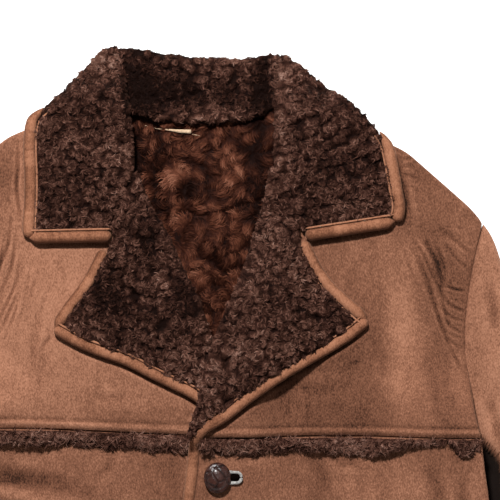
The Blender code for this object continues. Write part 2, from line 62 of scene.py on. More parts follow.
COLLAR_TAPER = 24.0             # the collar's bindings grow out from under its folds over this run
FRONT_RISE = 3.4                # how far the left front's binding stands up where it meets the lapel
PRESS_GAP = 1.2                 # from a binding's outer side to the trough that it presses
CURL_SIZE = 6.6                 # the clumps of the collar's and lapels' wool, and how they stand up
CURL_HEIGHT = 2.6
LEAF_SINK = 1.2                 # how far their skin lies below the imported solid's top
LOCKS_EACH_MM2 = 1.0
LINING_CLUMP = 13.0
TRIM_CLUMP = 4.6
YOKE_SEAM = 75.0
HEM = -419.0
RIGHT_SKEW = 0.045              # how the wearer's right side was turned and fanned
RIGHT_FAN = 0.03
FAN_START = 75.0
FAN_LENGTH = 265.0

# ---------------------------------------------------------------- the pattern, as in the part

# Body side and armhole. Columns: y, x.
SIDE = np.array([
    (HEM, 278.0), (-300.0, 272.0), (-200.0, 266.0), (-100.0, 260.0), (-32.0, 256.0), (18.0, 252.5),
    (50.0, 248.0), (76.7, 245.3), (92.6, 241.0), (121.0, 238.0), (142.7, 235.3), (171.5, 233.9),
    (185.8, 234.6), (221.7, 239.6), (243.0, 243.9), (267.0, 249.5)])
# Back neck and shoulder seam, from the middle out. Columns: x, y.
TOP_LINE = np.array([
    (0.0, 347.0), (50.0, 352.0), (64.0, 358.0), (80.0, 372.0), (125.0, 356.0), (168.0, 338.0),
    (181.0, 331.5), (193.5, 320.5), (218.0, 299.0), (239.4, 280.0), (249.5, 267.0)])
SHOULDER_FROM = 3               # the row of TOP_LINE where the shoulder seam starts
# Fold lines of the lapels, up to the neck. Columns: y, x.
ROLL_LEFT = np.array([
    (75.0, -12.0), (105.0, -8.5), (130.0, -4.0), (166.0, 7.2), (184.7, 15.3), (209.0, 25.7),
    (228.0, 32.9), (252.0, 41.4), (277.0, 48.6), (299.0, 54.0), (330.0, 68.0), (372.0, 75.0)])
ROLL_RIGHT = np.array([
    (75.0, 26.0), (100.0, 22.0), (130.0, 14.0), (166.0, 4.5), (184.7, -2.0), (199.0, -7.0),
    (213.5, -16.0), (231.5, -24.0), (252.0, -33.0), (269.0, -42.0), (286.0, -52.0),
    (305.0, -63.0), (330.0, -70.0), (372.0, -75.0)])
FRONT_EDGE = np.array([
    (HEM, -27.0), (-320.0, -26.0), (-200.0, -24.0), (-80.0, -19.0), (18.0, -12.0), (39.0, -9.0),
    (74.0, -6.0)])
OVERLAP = 52.0
# Lapel leaves. Columns: y, x of the fold, x of the bound edge.
LAPEL_LEFT = np.array([
    (74.0, -18.0, -13.5), (88.0, -15.0, -5.5), (100.0, -9.3, 14.4), (118.4, -6.2, 38.7), (137.0, -1.8, 67.5),
    (157.0, 4.5, 103.0), (170.0, 9.0, 124.0), (180.2, 13.3, 136.8), (190.0, 17.6, 124.8),
    (205.9, 24.3, 107.6), (220.0, 30.0, 97.0), (235.0, 35.3, 88.8), (249.0, 40.2, 82.4),
    (266.0, 45.5, 84.0), (283.0, 50.2, 79.0), (297.0, 53.5, 73.0), (316.0, 57.5, 72.0)])
LAPEL_RIGHT = np.array([
    (94.0, 23.0, 14.0), (104.0, 21.0, 5.0), (117.2, 17.5, -8.4), (134.3, 12.8, -43.2),
    (148.7, 9.0, -71.6), (161.3, 5.6, -106.2), (174.0, 2.0, -130.5), (190.0, -4.0, -119.3),
    (203.0, -9.0, -109.2), (214.4, -16.4, -101.6), (223.4, -20.4, -97.0), (240.5, -28.0, -88.6),
    (256.7, -35.5, -83.0), (275.0, -45.5, -84.0), (293.0, -56.0, -77.0), (312.0, -61.0, -75.0)])
# Collar leaves, from the bound end up to the peak. Columns: inner x, y, outer x, y.
LEAF_RIGHT = np.array([
    (-84.5, 261.0, -155.5, 259.5), (-77.0, 279.0, -155.0, 272.0), (-70.0, 297.0, -154.0, 290.0),
    (-64.5, 316.0, -154.0, 312.0), (-66.0, 338.0, -154.8, 337.0), (-68.0, 355.0, -153.3, 357.0),
    (-70.0, 368.0, -147.0, 371.0), (-71.5, 380.0, -129.0, 388.0), (-73.5, 392.0, -112.0, 405.0),
    (-75.0, 402.0, -98.0, 424.0), (-75.5, 409.0, -82.0, 428.5)])
LEAF_LEFT = np.array([
    (86.0, 261.0, 166.0, 273.5), (78.5, 271.0, 167.5, 277.0), (71.0, 286.0, 168.0, 283.0),
    (64.5, 302.0, 166.0, 294.0), (60.0, 318.0, 163.0, 311.0), (60.5, 335.0, 159.0, 332.0),
    (61.0, 351.0, 155.0, 350.0), (61.0, 366.0, 135.0, 371.0), (60.5, 378.0, 112.0, 388.0),
    (60.0, 389.0, 94.0, 401.0), (58.0, 398.0, 76.0, 417.5), (56.5, 404.0, 62.0, 420.5)])
# Back of the collar between the leaves. Columns: x, inner y, outer y.
BAND = np.array([
    (-80.0, 374.0, 426.0), (-60.0, 363.0, 425.5), (-40.0, 358.5, 421.0), (-14.0, 357.0, 417.0),
    (14.0, 359.0, 417.0), (37.0, 362.0, 416.0), (50.0, 366.0, 419.0), (64.0, 374.0, 420.0)])
# Sleeve. Columns: inner x, y, outer x, y, height of the inner half, of the outer half.
SLEEVE = np.array([
    (242.0, 74.0, 250.3, 266.5, 18.0, 19.0), (244.0, 60.0, 259.0, 255.0, 18.0, 21.0),
    (244.0, 46.0, 265.0, 236.0, 18.0, 23.0), (241.0, 32.0, 273.0, 213.0, 18.0, 25.0),
    (239.0, 16.0, 284.0, 186.0, 18.0, 26.0), (230.0, 0.0, 300.0, 150.0, 18.0, 27.0),
    (216.0, -18.0, 320.0, 107.0, 18.0, 27.0), (212.0, -40.0, 341.0, 62.0, 18.0, 27.0),
    (216.0, -70.0, 362.0, 17.0, 18.0, 26.0), (233.0, -104.0, 383.0, -28.0, 18.0, 25.0),
    (257.0, -143.0, 404.0, -73.0, 19.0, 24.0), (281.0, -185.0, 425.0, -118.0, 21.0, 23.0),
    (304.6, -229.0, 446.0, -163.0, 21.0, 22.0), (328.0, -272.7, 467.0, -208.0, 21.0, 21.0),
    (351.0, -316.8, 488.0, -253.0, 20.0, 20.0), (368.0, -351.4, 504.0, -288.0, 20.0, 20.0)])
SLEEVE_LENGTH = 560.0
SLEEVE_ACROSS = 170.0
SLEEVE_ROUND = 15.0             # how far in its side rounds start
ARMHOLE_BOW = -14.0
SLEEVE_SLIT = 1.2
NUMBERS = (1, 2, 3, 4)          # of the buttons and their holes
TRIM_WIDTH = 14.0

# ---------------------------------------------------------------- creases, and patches of wear and painted shade

CREASE_DEPTH = 1.75
PRESSED_DEPTH = 1.25
OUTER_SIDE_SHADE = 0.9                      # how much painted shade darkens a binding's outer side
# Each crease: points (x, y), half width, depth. A negative depth is a ridge.
CREASES = {
    "yoke_left": [
        ([(180, 262), (186, 249), (192, 236), (197, 222), (201, 210), (205, 195), (210, 179), (216, 165),
          (222, 150), (229, 137), (236, 126)], 1.5, 1.5),
        ([(183, 264), (189, 249), (195, 239), (201, 225), (207, 215), (211, 205), (214, 192), (220, 171)],
         1.3, 1.4),
        ([(179, 256), (182, 249), (189, 236), (194, 222), (198, 210), (203, 195)], 1.3, 1.0),
        ([(175, 250), (181, 233), (187, 217), (192, 200)], 1.4, 0.6),
        ([(196, 253), (202, 243), (208, 232), (212, 216), (211, 206)], 2.4, 1.7),
        ([(204, 250), (210, 240), (215, 226), (216, 214)], 1.6, 0.9),
        ([(215, 211), (223, 208), (234, 206)], 1.3, 1.3),
        ([(212, 203), (218, 195), (226, 190), (233, 188)], 1.4, 1.5),
        ([(212, 191), (220, 183), (231, 179)], 1.3, 1.1),
        ([(214, 181), (222, 173), (230, 168)], 1.3, 1.1),
        ([(216, 171), (221, 166), (230, 164)], 1.2, 0.9),
        ([(219, 161), (228, 155)], 1.2, 0.8),
        ([(218, 199), (226, 198), (233, 197)], 1.1, 0.6),
        ([(219, 256), (229, 247), (239, 240)], 1.5, 0.8),
        ([(214, 250), (225, 236), (236, 225)], 1.6, 0.8),
        ([(208, 262), (222, 255), (236, 246)], 2.6, 0.6),
        ([(171, 327), (176, 302), (180, 278), (184, 263)], 3.6, 1.8),
        ([(174, 323), (180, 326), (187, 326)], 1.3, 0.9),
        ([(174, 317), (181, 319), (189, 317)], 1.3, 1.0),
        ([(175, 310), (182, 311), (190, 307)], 1.4, 0.8),
        ([(176, 301), (184, 300), (192, 295)], 1.6, 0.6),
        ([(150, 190), (158, 150), (162, 112)], 7.0, 0.35),
        ([(60, 128), (95, 118), (130, 121)], 5.0, 0.5),
        ([(196, 150), (204, 122), (208, 96)], 4.0, 0.3),
        ([(90, 112), (92, 98), (91, 86)], 2.4, 0.5),
    ],
    "yoke_right": [
        ([(-166, 236), (-169, 219), (-173, 201), (-179, 186), (-187, 168)], 1.4, 1.2),
        ([(-169, 242), (-171, 222), (-175, 207), (-182, 192), (-190, 176)], 1.3, 1.3),
        ([(-173, 258), (-175, 237), (-179, 222), (-186, 205)], 1.4, 1.3),
        ([(-177, 272), (-179, 252), (-183, 237), (-190, 222)], 1.5, 1.2),
        ([(-166, 229), (-168, 210), (-172, 194), (-177, 177), (-184, 160)], 1.3, 0.9),
        ([(-160, 226), (-163, 206), (-168, 184), (-175, 164)], 1.4, 0.6),
        ([(-152, 226), (-158, 207), (-163, 187)], 1.7, 0.5),
        ([(-140, 214), (-148, 196), (-153, 180)], 2.0, 0.35),
        ([(-180, 262), (-187, 232), (-194, 208), (-204, 190)], 1.8, 1.6),
        ([(-188, 252), (-197, 222), (-207, 200), (-219, 188)], 1.8, 1.6),
        ([(-200, 214), (-212, 206), (-226, 203)], 1.4, 1.3),
        ([(-201, 198), (-213, 188), (-228, 184)], 1.4, 1.3),
        ([(-198, 176), (-210, 167), (-224, 164)], 1.4, 1.0),
        ([(-171, 340), (-171, 318), (-172, 298), (-169, 272)], 1.5, 1.6),
        ([(-160, 290), (-161, 280), (-163, 270)], 2.0, 0.8),
        ([(-196, 150), (-204, 136), (-216, 126)], 2.4, 1.0),
        ([(-150, 190), (-156, 160), (-160, 128)], 3.6, 0.6),
        ([(-142, 176), (-150, 140), (-151, 112)], 5.0, 0.5),
        ([(-70, 112), (-84, 108), (-102, 112)], 4.0, 0.5),
        ([(-140, 166), (-147, 158), (-151, 149)], 1.8, 0.8),
        ([(-200, 262), (-214, 250), (-230, 244)], 2.4, 1.1),
    ],
    "front_lower_left": [
        ([(118, 54), (128, 51), (139, 52)], 3.0, 0.8),
        ([(60, 60), (92, 54), (104, 42), (108, 20)], 5.0, 0.9),
        ([(16, 62), (30, 58), (52, 60)], 3.4, 0.8),
        ([(196, 60), (206, 30), (210, -10)], 6.0, 0.6),
        ([(226, 40), (229, 0), (226, -60)], 5.0, 1.6),
        ([(40, -20), (62, -60), (70, -120)], 8.0, 1.4),
        ([(150, -40), (140, -110), (146, -190)], 9.0, 1.6),
        ([(206, -90), (198, -160), (206, -250)], 7.0, 1.5),
        ([(84, -170), (92, -240), (86, -330)], 9.0, 1.7),
        ([(170, -230), (176, -300), (168, -380)], 8.0, 1.5),
        ([(12, -230), (30, -262), (54, -276)], 5.0, 1.1),
        ([(230, -280), (238, -340), (234, -400)], 6.0, 1.4),
        ([(20, -340), (40, -360), (68, -362)], 5.0, 1.0),
    ],
    "front_lower_right": [
        ([(-24, 66), (-30, 44), (-28, 14)], 5.0, 0.35),
        ([(-86, 58), (-92, 44), (-104, 36)], 3.6, 0.8),
        ([(-216, 48), (-180, 42), (-140, 33), (-100, 20)], 7.0, 1.2),
        ([(-214, 32), (-188, 28), (-164, 22), (-138, 8)], 4.6, -1.3),
        ([(-220, 52), (-226, 4), (-222, -50)], 5.0, 1.6),
        ([(-60, -10), (-74, -70), (-66, -130)], 8.0, 1.4),
        ([(-140, -60), (-130, -130), (-142, -220)], 9.0, 1.6),
        ([(-204, -110), (-212, -190), (-204, -260)], 7.0, 1.5),
        ([(-30, -190), (-44, -250), (-34, -330)], 8.0, 1.4),
        ([(-108, -230), (-102, -300), (-112, -390)], 9.0, 1.7),
        ([(-176, -290), (-184, -340), (-174, -400)], 7.0, 1.4),
        ([(-240, -240), (-234, -300), (-242, -370)], 6.0, 1.3),
    ],
    "sleeve_left": [
        ([(252, 214), (258, 190), (262, 160)], 5.0, 1.4),
        ([(254, 110), (262, 84), (276, 60)], 4.0, 2.0),
        ([(256, 84), (272, 58), (292, 40)], 4.4, 2.4),
        ([(252, 56), (276, 30), (306, 20)], 4.6, 2.6),
        ([(240, 20), (266, 2), (304, -2)], 4.2, 2.2),
        ([(232, -12), (262, -24), (300, -18)], 4.6, 2.6),
        ([(240, -46), (276, -50), (322, -34)], 5.0, 2.8),
        ([(250, -84), (290, -80), (336, -58)], 4.2, 2.2),
        ([(372, -44), (346, -70), (308, -92)], 4.4, 1.8),
        ([(284, -132), (318, -128), (366, -106)], 5.0, 2.2),
        ([(402, -112), (372, -142), (330, -160)], 4.6, 1.6),
        ([(316, -196), (352, -196), (398, -176)], 5.0, 1.8),
        ([(346, -252), (384, -246), (430, -226)], 5.0, 1.5),
        ([(460, -236), (440, -262), (410, -282)], 4.0, 1.2),
        ([(376, -306), (410, -300), (452, -282)], 4.4, 1.3),
    ],
    "sleeve_right": [
        ([(-254, 236), (-262, 208), (-264, 176)], 5.0, 1.5),
        ([(-250, 126), (-262, 96), (-280, 76)], 4.2, 2.2),
        ([(-256, 92), (-274, 66), (-298, 52)], 4.6, 2.4),
        ([(-250, 50), (-280, 34), (-312, 30)], 4.4, 2.4),
        ([(-236, 16), (-268, 4), (-310, 10)], 4.6, 2.6),
        ([(-238, -26), (-272, -28), (-312, -12)], 4.4, 2.2),
        ([(-246, -58), (-284, -58), (-326, -38)], 5.0, 2.6),
        ([(-366, -20), (-336, -50), (-300, -72)], 4.6, 1.8),
        ([(-270, -100), (-304, -98), (-350, -76)], 4.6, 2.2),
        ([(-300, -150), (-336, -148), (-384, -124)], 5.0, 2.0),
        ([(-430, -136), (-404, -166), (-366, -188)], 4.6, 1.5),
        ([(-336, -216), (-372, -212), (-416, -192)], 5.0, 1.7),
        ([(-362, -270), (-398, -266), (-446, -242)], 4.6, 1.4),
    ],
    "back": [],
}

# How light (up to 1) or dark (down to -1) the suede is in places, from wear and as painted shade in hollows
# and folds and painted light on ridges: x, y, half sizes, amount.
WEAR_AND_SHADE = [
    (178, 178, 17, 52, 0.88), (180, 110, 30, 26, 0.3), (228, 128, 9, 34, 0.42), (150, 250, 26, 22, 0.15),
    (209, 228, 10, 24, -0.5), (120, 150, 34, 30, -0.3), (150, 100, 40, 20, -0.28), (195, 292, 26, 14, 0.1),
    (60, 110, 40, 16, -0.2), (96, 205, 14, 20, -0.12), (232, 285, 20, 26, 0.25),
    (135, 142, 4.5, 2.6, -0.5), (-56, 47, 5, 3.6, -0.35),
    (-160, 180, 44, 60, 0.3), (-120, 200, 30, 40, 0.3), (-175, 110, 30, 22, 0.2), (-90, 120, 38, 26, 0.05),
    (-40, 92, 46, 12, -0.35), (-100, 92, 40, 12, -0.2), (-182, 235, 10, 40, -0.2), (-184, 314, 13, 28, -0.6),
    (-156, 39, 52, 11, -0.3), (-184, 27, 24, 4.5, 0.5), (-40, 30, 26, 40, -0.22),
    (-90, 20, 34, 20, 0.05), (-190, 20, 30, 40, -0.15),
    (90, 40, 40, 14, -0.1), (150, 34, 50, 24, 0.1), (60, 20, 26, 14, 0.2), (30, 50, 14, 20, 0.15),
    (212, 48, 24, 22, -0.15), (262, 160, 16, 90, 0.35), (262, 60, 20, 40, 0.2), (290, 60, 40, 60, 0.2),
    (-262, 160, 16, 90, 0.3), (-300, 20, 40, 60, 0.15), (110, -120, 60, 80, 0.2), (60, -300, 50, 60, -0.2),
    (-120, -140, 60, 80, 0.15), (-80, -320, 60, 50, -0.2), (200, -320, 40, 60, 0.15), (330, -60, 40, 60, 0.2),
    (420, -240, 50, 40, -0.15), (-400, -200, 50, 50, -0.15)]

# How light or dark the wool is in places, in the same way: painted shade on the band between the leaves and
# in other hollows, painted light on the leaves' inner folds and peaks, and tone.
WOOL_TONE_AND_SHADE = [
    (-63, 392, 15, 36, -0.6), (-36, 388, 30, 22, -0.3), (50, 388, 10, 36, -0.6), (10, 384, 50, 16, -0.26),
    (20, 366, 34, 6, 0.12), (-88, 412, 20, 12, 0.24), (-8, 414, 60, 5, 0.1), (-80, 372, 8, 34, 0.14),
    (-76, 330, 9, 40, 0.12), (70, 404, 20, 12, 0.2), (66, 360, 8, 44, 0.2), (-118, 330, 22, 44, -0.08),
    (-140, 300, 14, 30, -0.08), (118, 322, 28, 40, -0.14), (150, 330, 12, 30, -0.1), (90, 370, 22, 14, 0.08),
    (130, 350, 16, 12, 0.05), (-60, 190, 26, 20, -0.16), (-54, 246, 14, 30, -0.34),
    (-90, 196, 18, 30, -0.3), (50, 176, 40, 30, 0.12),
    (-30, 150, 30, 22, -0.02), (-96, 178, 16, 12, 0.1), (-20, 210, 12, 34, -0.3), (-40, 214, 8, 26, 0.14),
    (84, 186, 14, 16, -0.14), (30, 150, 26, 20, 0.1), (44, 230, 12, 24, 0.02)]
# How light or dark the lining is in places: painted shade in its valleys, and lighter tufts.
LINING_TONE_AND_SHADE = [
    (-60, 316, 6, 42, -0.5), (-44, 312, 4, 40, -0.45), (-52, 318, 4, 20, 0.15), (-27, 312, 13, 9, 0.42),
    (-15, 297, 10, 6, -0.3), (21, 313, 18, 8, 0.4), (4, 318, 8, 22, -0.22), (46, 303, 7, 50, -0.5),
    (-27, 272, 12, 12, 0.26), (0, 262, 18, 12, 0.14), (-8, 346, 40, 6, 0.05), (20, 286, 16, 8, -0.2),
    (-40, 280, 8, 14, -0.25), (26, 268, 12, 8, 0.2), (12, 236, 10, 18, -0.25), (-4, 214, 20, 12, 0.1),
    (-30, 236, 10, 14, 0.1), (24, 330, 16, 8, 0.12)]

# ---------------------------------------------------------------- noise and curves

def eased(part):
    """A share from 0 to 1 that starts and ends gently."""
    return part * part * (3 - 2 * part)


def quarter_round(part):
    """How high a quarter round stands at this share of its radius."""
    return np.sqrt(np.clip(1 - (1 - np.clip(part, 0, 1)) ** 2, 0, 1))


def chance(i, j, seed):
    """A random number from 0 to 1 for each cell of a lattice."""
    value = np.sin(i * 127.1 + j * 311.7 + seed * 74.7) * 43758.5453
    return value - np.floor(value)


def drift(x, y, size, seed):
    """Smooth noise from -1 to 1, in lumps of this size."""
    i = np.floor(x / size)
    j = np.floor(y / size)
    a = eased(x / size - i)
    b = eased(y / size - j)
    low = chance(i, j, seed) * (1 - a) + chance(i + 1, j, seed) * a
    high = chance(i, j + 1, seed) * (1 - a) + chance(i + 1, j + 1, seed) * a
    return 2 * (low * (1 - b) + high * b) - 1


def clumps(x, y, size, seed):
    """Distance to the nearest clump's middle in sizes, the way to it, and the clump's number."""
    near = np.full(np.shape(x), 9.0)
    number = np.zeros(np.shape(x))
    away_x = np.zeros(np.shape(x))
    away_y = np.zeros(np.shape(x))
    for across in (-1, 0, 1):
        for up in (-1, 0, 1):
            i = np.floor(x / size) + across
            j = np.floor(y / size) + up
            gap_x = x / size - (i + 0.15 + 0.7 * chance(i, j, seed))
            gap_y = y / size - (j + 0.15 + 0.7 * chance(i, j, seed + 1))
            far = np.hypot(gap_x, gap_y)
            closer = far < near
            near = np.where(closer, far, near)
            number = np.where(closer, chance(i, j, seed + 2), number)
            away_x = np.where(closer, gap_x, away_x)
            away_y = np.where(closer, gap_y, away_y)
    return near, away_x, away_y, number


def warped(x, y, size, seed):
    """Places moved about, so that clumps on a lattice don't stand in rows."""
    return (x + 0.75 * size * drift(x, y, 2.3 * size, seed + 21) + 0.25 * y,
            y + 0.75 * size * drift(x, y, 2.3 * size, seed + 23) - 0.25 * x)


def at(table, key, column=1):
    return np.interp(key, table[:, 0], table[:, column])


def soft_at(table, key, column=1, reach=9.0):
    """The table's value, with its corners rounded over this reach."""
    shifts = np.linspace(-reach, reach, 7)
    return sum(at(table, np.asarray(key, float) + shift, column) for shift in shifts) / len(shifts)


def soft_rows(table, place, reach):
    """A table's rows at places between them, with its corners rounded over this reach."""
    keys = np.arange(len(table))
    shifts = np.linspace(-reach, reach, 5)
    soft = np.stack([sum(np.interp(np.clip(place + shift, 0, keys[-1]), keys, column)
                         for shift in shifts) / len(shifts) for column in table.T], axis=1)
    soft[0] = table[0]
    soft[-1] = table[-1]
    return soft


def run_along(points):
    """How far along its path each point is."""
    return np.concatenate([[0.0], np.cumsum(np.linalg.norm(np.diff(points, axis=0), axis=1))])


def along(points, fractions):
    """Points at these fractions of a path's length."""
    points = np.asarray(points, float)
    run = run_along(points)
    return np.stack([np.interp(np.asarray(fractions) * run[-1], run, points[:, k])
                     for k in range(points.shape[1])], axis=-1)


def length_of(points):
    return float(np.linalg.norm(np.diff(np.asarray(points, float), axis=0), axis=1).sum())


def through(points, step):
    """A smooth curve through the points, cut into even steps."""
    points = np.asarray(points, float)
    padded = np.vstack([2 * points[0] - points[1], points, 2 * points[-1] - points[-2]])
    curve = []
    for a, b, c, d in zip(padded, padded[1:], padded[2:], padded[3:]):
        for t in np.linspace(0, 1, 9)[:-1]:
            curve.append(0.5 * (2 * b + (c - a) * t + (2 * a - 5 * b + 4 * c - d) * t * t
                                + (3 * b - a - 3 * c + d) * t ** 3))
    curve.append(points[-1])
    count = max(2, int(round(length_of(curve) / step)) + 1)
    return along(curve, np.linspace(0, 1, count))


def laid(plan):
    """Where points of the even pattern lie: the wearer's right side is turned and fanned."""
    x = plan[..., 0]
    y = plan[..., 1]
    turned = y - x * (RIGHT_SKEW + RIGHT_FAN * (y - FAN_START) / FAN_LENGTH)
    return np.stack([x, np.where(x < 0, turned, y)], axis=-1)


def beside(path, distance):
    """The path at this distance to the right of another, with mitred corners."""
    path = np.asarray(path, float)
    runs = np.diff(path, axis=0)
    runs /= np.linalg.norm(runs, axis=1)[:, None]
    before = np.vstack([runs[:1], runs])
    after = np.vstack([runs, runs[-1:]])
    middle = before + after
    middle /= np.linalg.norm(middle, axis=1)[:, None]
    stretch = 1 / np.maximum((middle * after).sum(axis=1), 0.62)
    return path + np.stack([middle[:, 1], -middle[:, 0]], axis=1) * (distance * stretch)[:, None]


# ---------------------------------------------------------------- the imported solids' heights

def blurred(field, cells):
    reach = int(3 * cells) + 1
    taps = np.exp(-0.5 * (np.arange(-reach, reach + 1) / cells) ** 2)
    taps /= taps.sum()
    for axis in (0, 1):
        field = sum(tap * np.roll(field, shift - reach, axis) for shift, tap in enumerate(taps))
    return field


class Form:
    """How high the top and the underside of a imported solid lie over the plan, softened."""

    def __init__(self, node, step=2.5, soften=7.0):
        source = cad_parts[node]
        points = [source.matrix_world @ vertex.co / MM for vertex in source.data.vertices]
        tree = BVHTree.FromPolygons(points, [tuple(face.vertices) for face in source.data.polygons])
        corners = np.array(points)
        self.step = step
        margin = 3 * soften + 3 * step
        self.start = corners.min(axis=0)[:2] - margin
        end = corners.max(axis=0)[:2] + margin
        xs = np.arange(self.start[0], end[0], step)
        ys = np.arange(self.start[1], end[1], step)
        top = np.zeros((len(ys), len(xs)))
        low = np.zeros_like(top)
        known = np.zeros_like(top)
        down = Vector((0.0, 0.0, -1.0))
        for j, y in enumerate(ys):
            for i, x in enumerate(xs):
                hit = tree.ray_cast(Vector((x, y, 300.0)), down)[0]
                if hit is not None:
                    top[j, i] = hit.z
                    low[j, i] = tree.ray_cast(Vector((x, y, -50.0)), -down)[0].z
                    known[j, i] = 1.0
        cells = soften / step
        weight = blurred(known, cells)
        wide = blurred(known, 3 * cells) + 1e-9
        self.heights = []
        for field in (top, low):
            mean = field.sum() / known.sum()
            spread = (blurred(field, 3 * cells) + 1e-6 * mean) / (wide + 1e-6)
            self.heights.append((blurred(field, cells) + 1e-3 * spread) / (weight + 1e-3))

    def read(self, which, x, y):
        grid = self.heights[which]
        u = np.clip((x + ORIGIN[0] - self.start[0]) / self.step, 0, grid.shape[1] - 1.001)
        v = np.clip((y + ORIGIN[1] - self.start[1]) / self.step, 0, grid.shape[0] - 1.001)
        i = u.astype(int)
        j = v.astype(int)
        a = u - i
        b = v - j
        return ((grid[j, i] * (1 - a) + grid[j, i + 1] * a) * (1 - b)
                + (grid[j + 1, i] * (1 - a) + grid[j + 1, i + 1] * a) * b)

    def top(self, x, y):
        return self.read(0, x, y)

    def low(self, x, y):
        return self.read(1, x, y)

    def middle(self, x, y):
        return (self.read(0, x, y) + self.read(1, x, y)) / 2


# ---------------------------------------------------------------- meshes

def placed(points):
    """Pattern millimetres to frame metres."""
    moved = np.array(points, float)
    moved[..., 0] += ORIGIN[0]
    moved[..., 1] += ORIGIN[1]
    return moved * MM


def piece(name, points, faces, materials, slot, shade=None, face_material=None, replaces=None):
    """A visible piece of the coat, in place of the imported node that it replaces."""
    mesh = bpy.data.meshes.new(name)
    mesh.from_pydata(placed(points.reshape(-1, 3)).tolist(), [], np.asarray(faces).tolist())
    for finish in materials:
        mesh.materials.append(finish)
    if face_material is not None:
        mesh.polygons.foreach_set("material_index", np.asarray(face_material, np.int32))
    if shade is not None:
        kept = mesh.attributes.new("shade", "FLOAT", "POINT")
        kept.data.foreach_set("value", np.asarray(shade, np.float32).ravel())
    mesh.shade_smooth()
    made = bpy.data.objects.new(name, mesh)
    bpy.context.scene.collection.objects.link(made)
    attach(made, "root")
    if replaces is not None:
        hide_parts(replaces)
    return made


def numbered(rows, columns):
    """A grid of point numbers."""
    return np.arange(rows * columns).reshape(rows, columns)


def grid_faces(grid):
    """The faces of a sheet over a grid of point numbers."""
    return np.stack([grid[:-1, :-1], grid[:-1, 1:], grid[1:, 1:], grid[1:, :-1]], axis=-1).reshape(-1, 4)


def ring_faces(grid):
    """The faces of a tube whose rings are the rows of a grid of point numbers."""
    beyond = np.roll(grid, -1, axis=1)
    return np.stack([grid[:-1], beyond[:-1], beyond[1:], grid[1:]], axis=-1).reshape(-1, 4)


def join(parts):
    """Points, faces and values of several meshes as one."""
    points = []
    faces = []
    values = []
    for part_points, part_faces, part_values in parts:
        shift = sum(len(group) for group in points)
        points.append(part_points.reshape(-1, 3))
        faces.append(np.asarray(part_faces) + shift)
        values.append(np.asarray(part_values, float).ravel())
    return np.vstack(points), np.vstack(faces), np.concatenate(values)


def fractions(length, step, rim=(0.5, 1.4, 2.7, 4.4, 6.6)):
    """Places across a panel, closer together at both edges, as fractions of its width."""
    rim = np.array(rim)
    inner = np.arange(1, max(2, round((length - 2 * rim[-1]) / step)))
    inner = rim[-1] + (length - 2 * rim[-1]) * inner / (len(inner) + 1)
    return np.concatenate([[0.0], rim, inner, length - rim[::-1], [length]]) / length


def side_distances(plan):
    """How far each grid point is from the grid's south, north, west and east sides."""
    across = np.linalg.norm(np.diff(plan, axis=1), axis=2).cumsum(axis=1)
    up = np.linalg.norm(np.diff(plan, axis=0), axis=2).cumsum(axis=0)
    west = np.pad(across, ((0, 0), (1, 0)))
    south = np.pad(up, ((1, 0), (0, 0)))
    return south, south[-1:] - south, west, west[:, -1:] - west


def rounding(plan, rims):
    """1 inside the panel, falling to 0 at its edges on quarter rounds of these radii."""
    fall = np.ones(plan.shape[:2])
    for distance, rim in zip(side_distances(plan), rims):
        fall = np.minimum(fall, quarter_round(distance / rim))
    return fall


def crease_field(x, y, creases):
    """How far the creases sink (below 0) or raise the cloth."""
    total = np.zeros(x.shape)
    for points, width, depth in creases:
        line = through(points, 4.0)
        reach = 5 * width
        near = ((x > line[:, 0].min() - reach) & (x < line[:, 0].max() + reach)
                & (y > line[:, 1].min() - reach) & (y < line[:, 1].max() + reach))
        if not near.any():
            continue
        spot = np.stack([x[near], y[near]], axis=1)[:, None, :]
        start = line[:-1][None]
        run = np.diff(line, axis=0)[None]
        part = np.clip(((spot - start) * run).sum(axis=2) / (run ** 2).sum(axis=2), 0, 1)
        gap = np.linalg.norm(spot - start - part[..., None] * run, axis=2)
        nearest = gap.argmin(axis=1)
        rows = np.arange(len(nearest))
        away = gap[rows, nearest] / width
        place = (nearest + part[rows, nearest]) / (len(line) - 1)
        ends = np.clip(np.sin(np.pi * place), 0, 1) ** 0.6
        uneven = 0.75 + 0.35 * drift(x[near], y[near], 13.0, depth)
        profile = -np.exp(-away ** 2) + 0.5 * np.exp(-((away - 1.9) ** 2) / 0.8)
        total[near] += CREASE_DEPTH * depth * ends * uneven * profile
    return total


def patches(x, y, places):
    """How light or dark soft-edged places make the plan."""
    shade = np.zeros(x.shape)
    for px, py, rx, ry, amount in places:
        shade += amount * np.exp(-((x - px) / rx) ** 2 - ((y - py) / ry) ** 2)
    return shade


def shell_faces(rows, columns):
    """Faces of a closed shell: a top grid, then an underside grid that shares the top's rim."""
    top = numbered(rows, columns)
    under = top.copy()
    under[1:-1, 1:-1] = rows * columns + numbered(rows - 2, columns - 2)
    return np.vstack([grid_faces(top), grid_faces(under)[:, ::-1]])


def shell_parts(plan, top, low, rims, shade, lift=0.0):
    """Points, faces and shades of a closed soft-edged shell over a plan grid, and its top surface."""
    fall = rounding(plan, rims)
    middle = (top + low) / 2
    upper = middle + (top - middle) * fall + lift * fall
    lower = middle - (middle - low) * fall
    top_points = np.dstack([plan, upper])
    low_points = np.dstack([plan, lower])[1:-1, 1:-1]
    points = np.vstack([top_points.reshape(-1, 3), low_points.reshape(-1, 3)])
    faces = shell_faces(*plan.shape[:2])
    corner = plan[[0, 0, -1], [0, -1, 0]]
    turn = np.cross(corner[1] - corner[0], corner[2] - corner[0])
    if turn < 0:
        faces = faces[:, ::-1]
    shades = np.concatenate([shade.ravel(), shade[1:-1, 1:-1].ravel()])
    return points, faces, shades, top_points


def grain(x, y):
    """Small unevenness of a skin that has been worn: how far it stands up, in millimetres."""
    return 0.55 * drift(x, y, 34.0, 3) + 0.28 * drift(x, y, 15.0, 4) + 0.12 * drift(x, y, 6.5, 5)


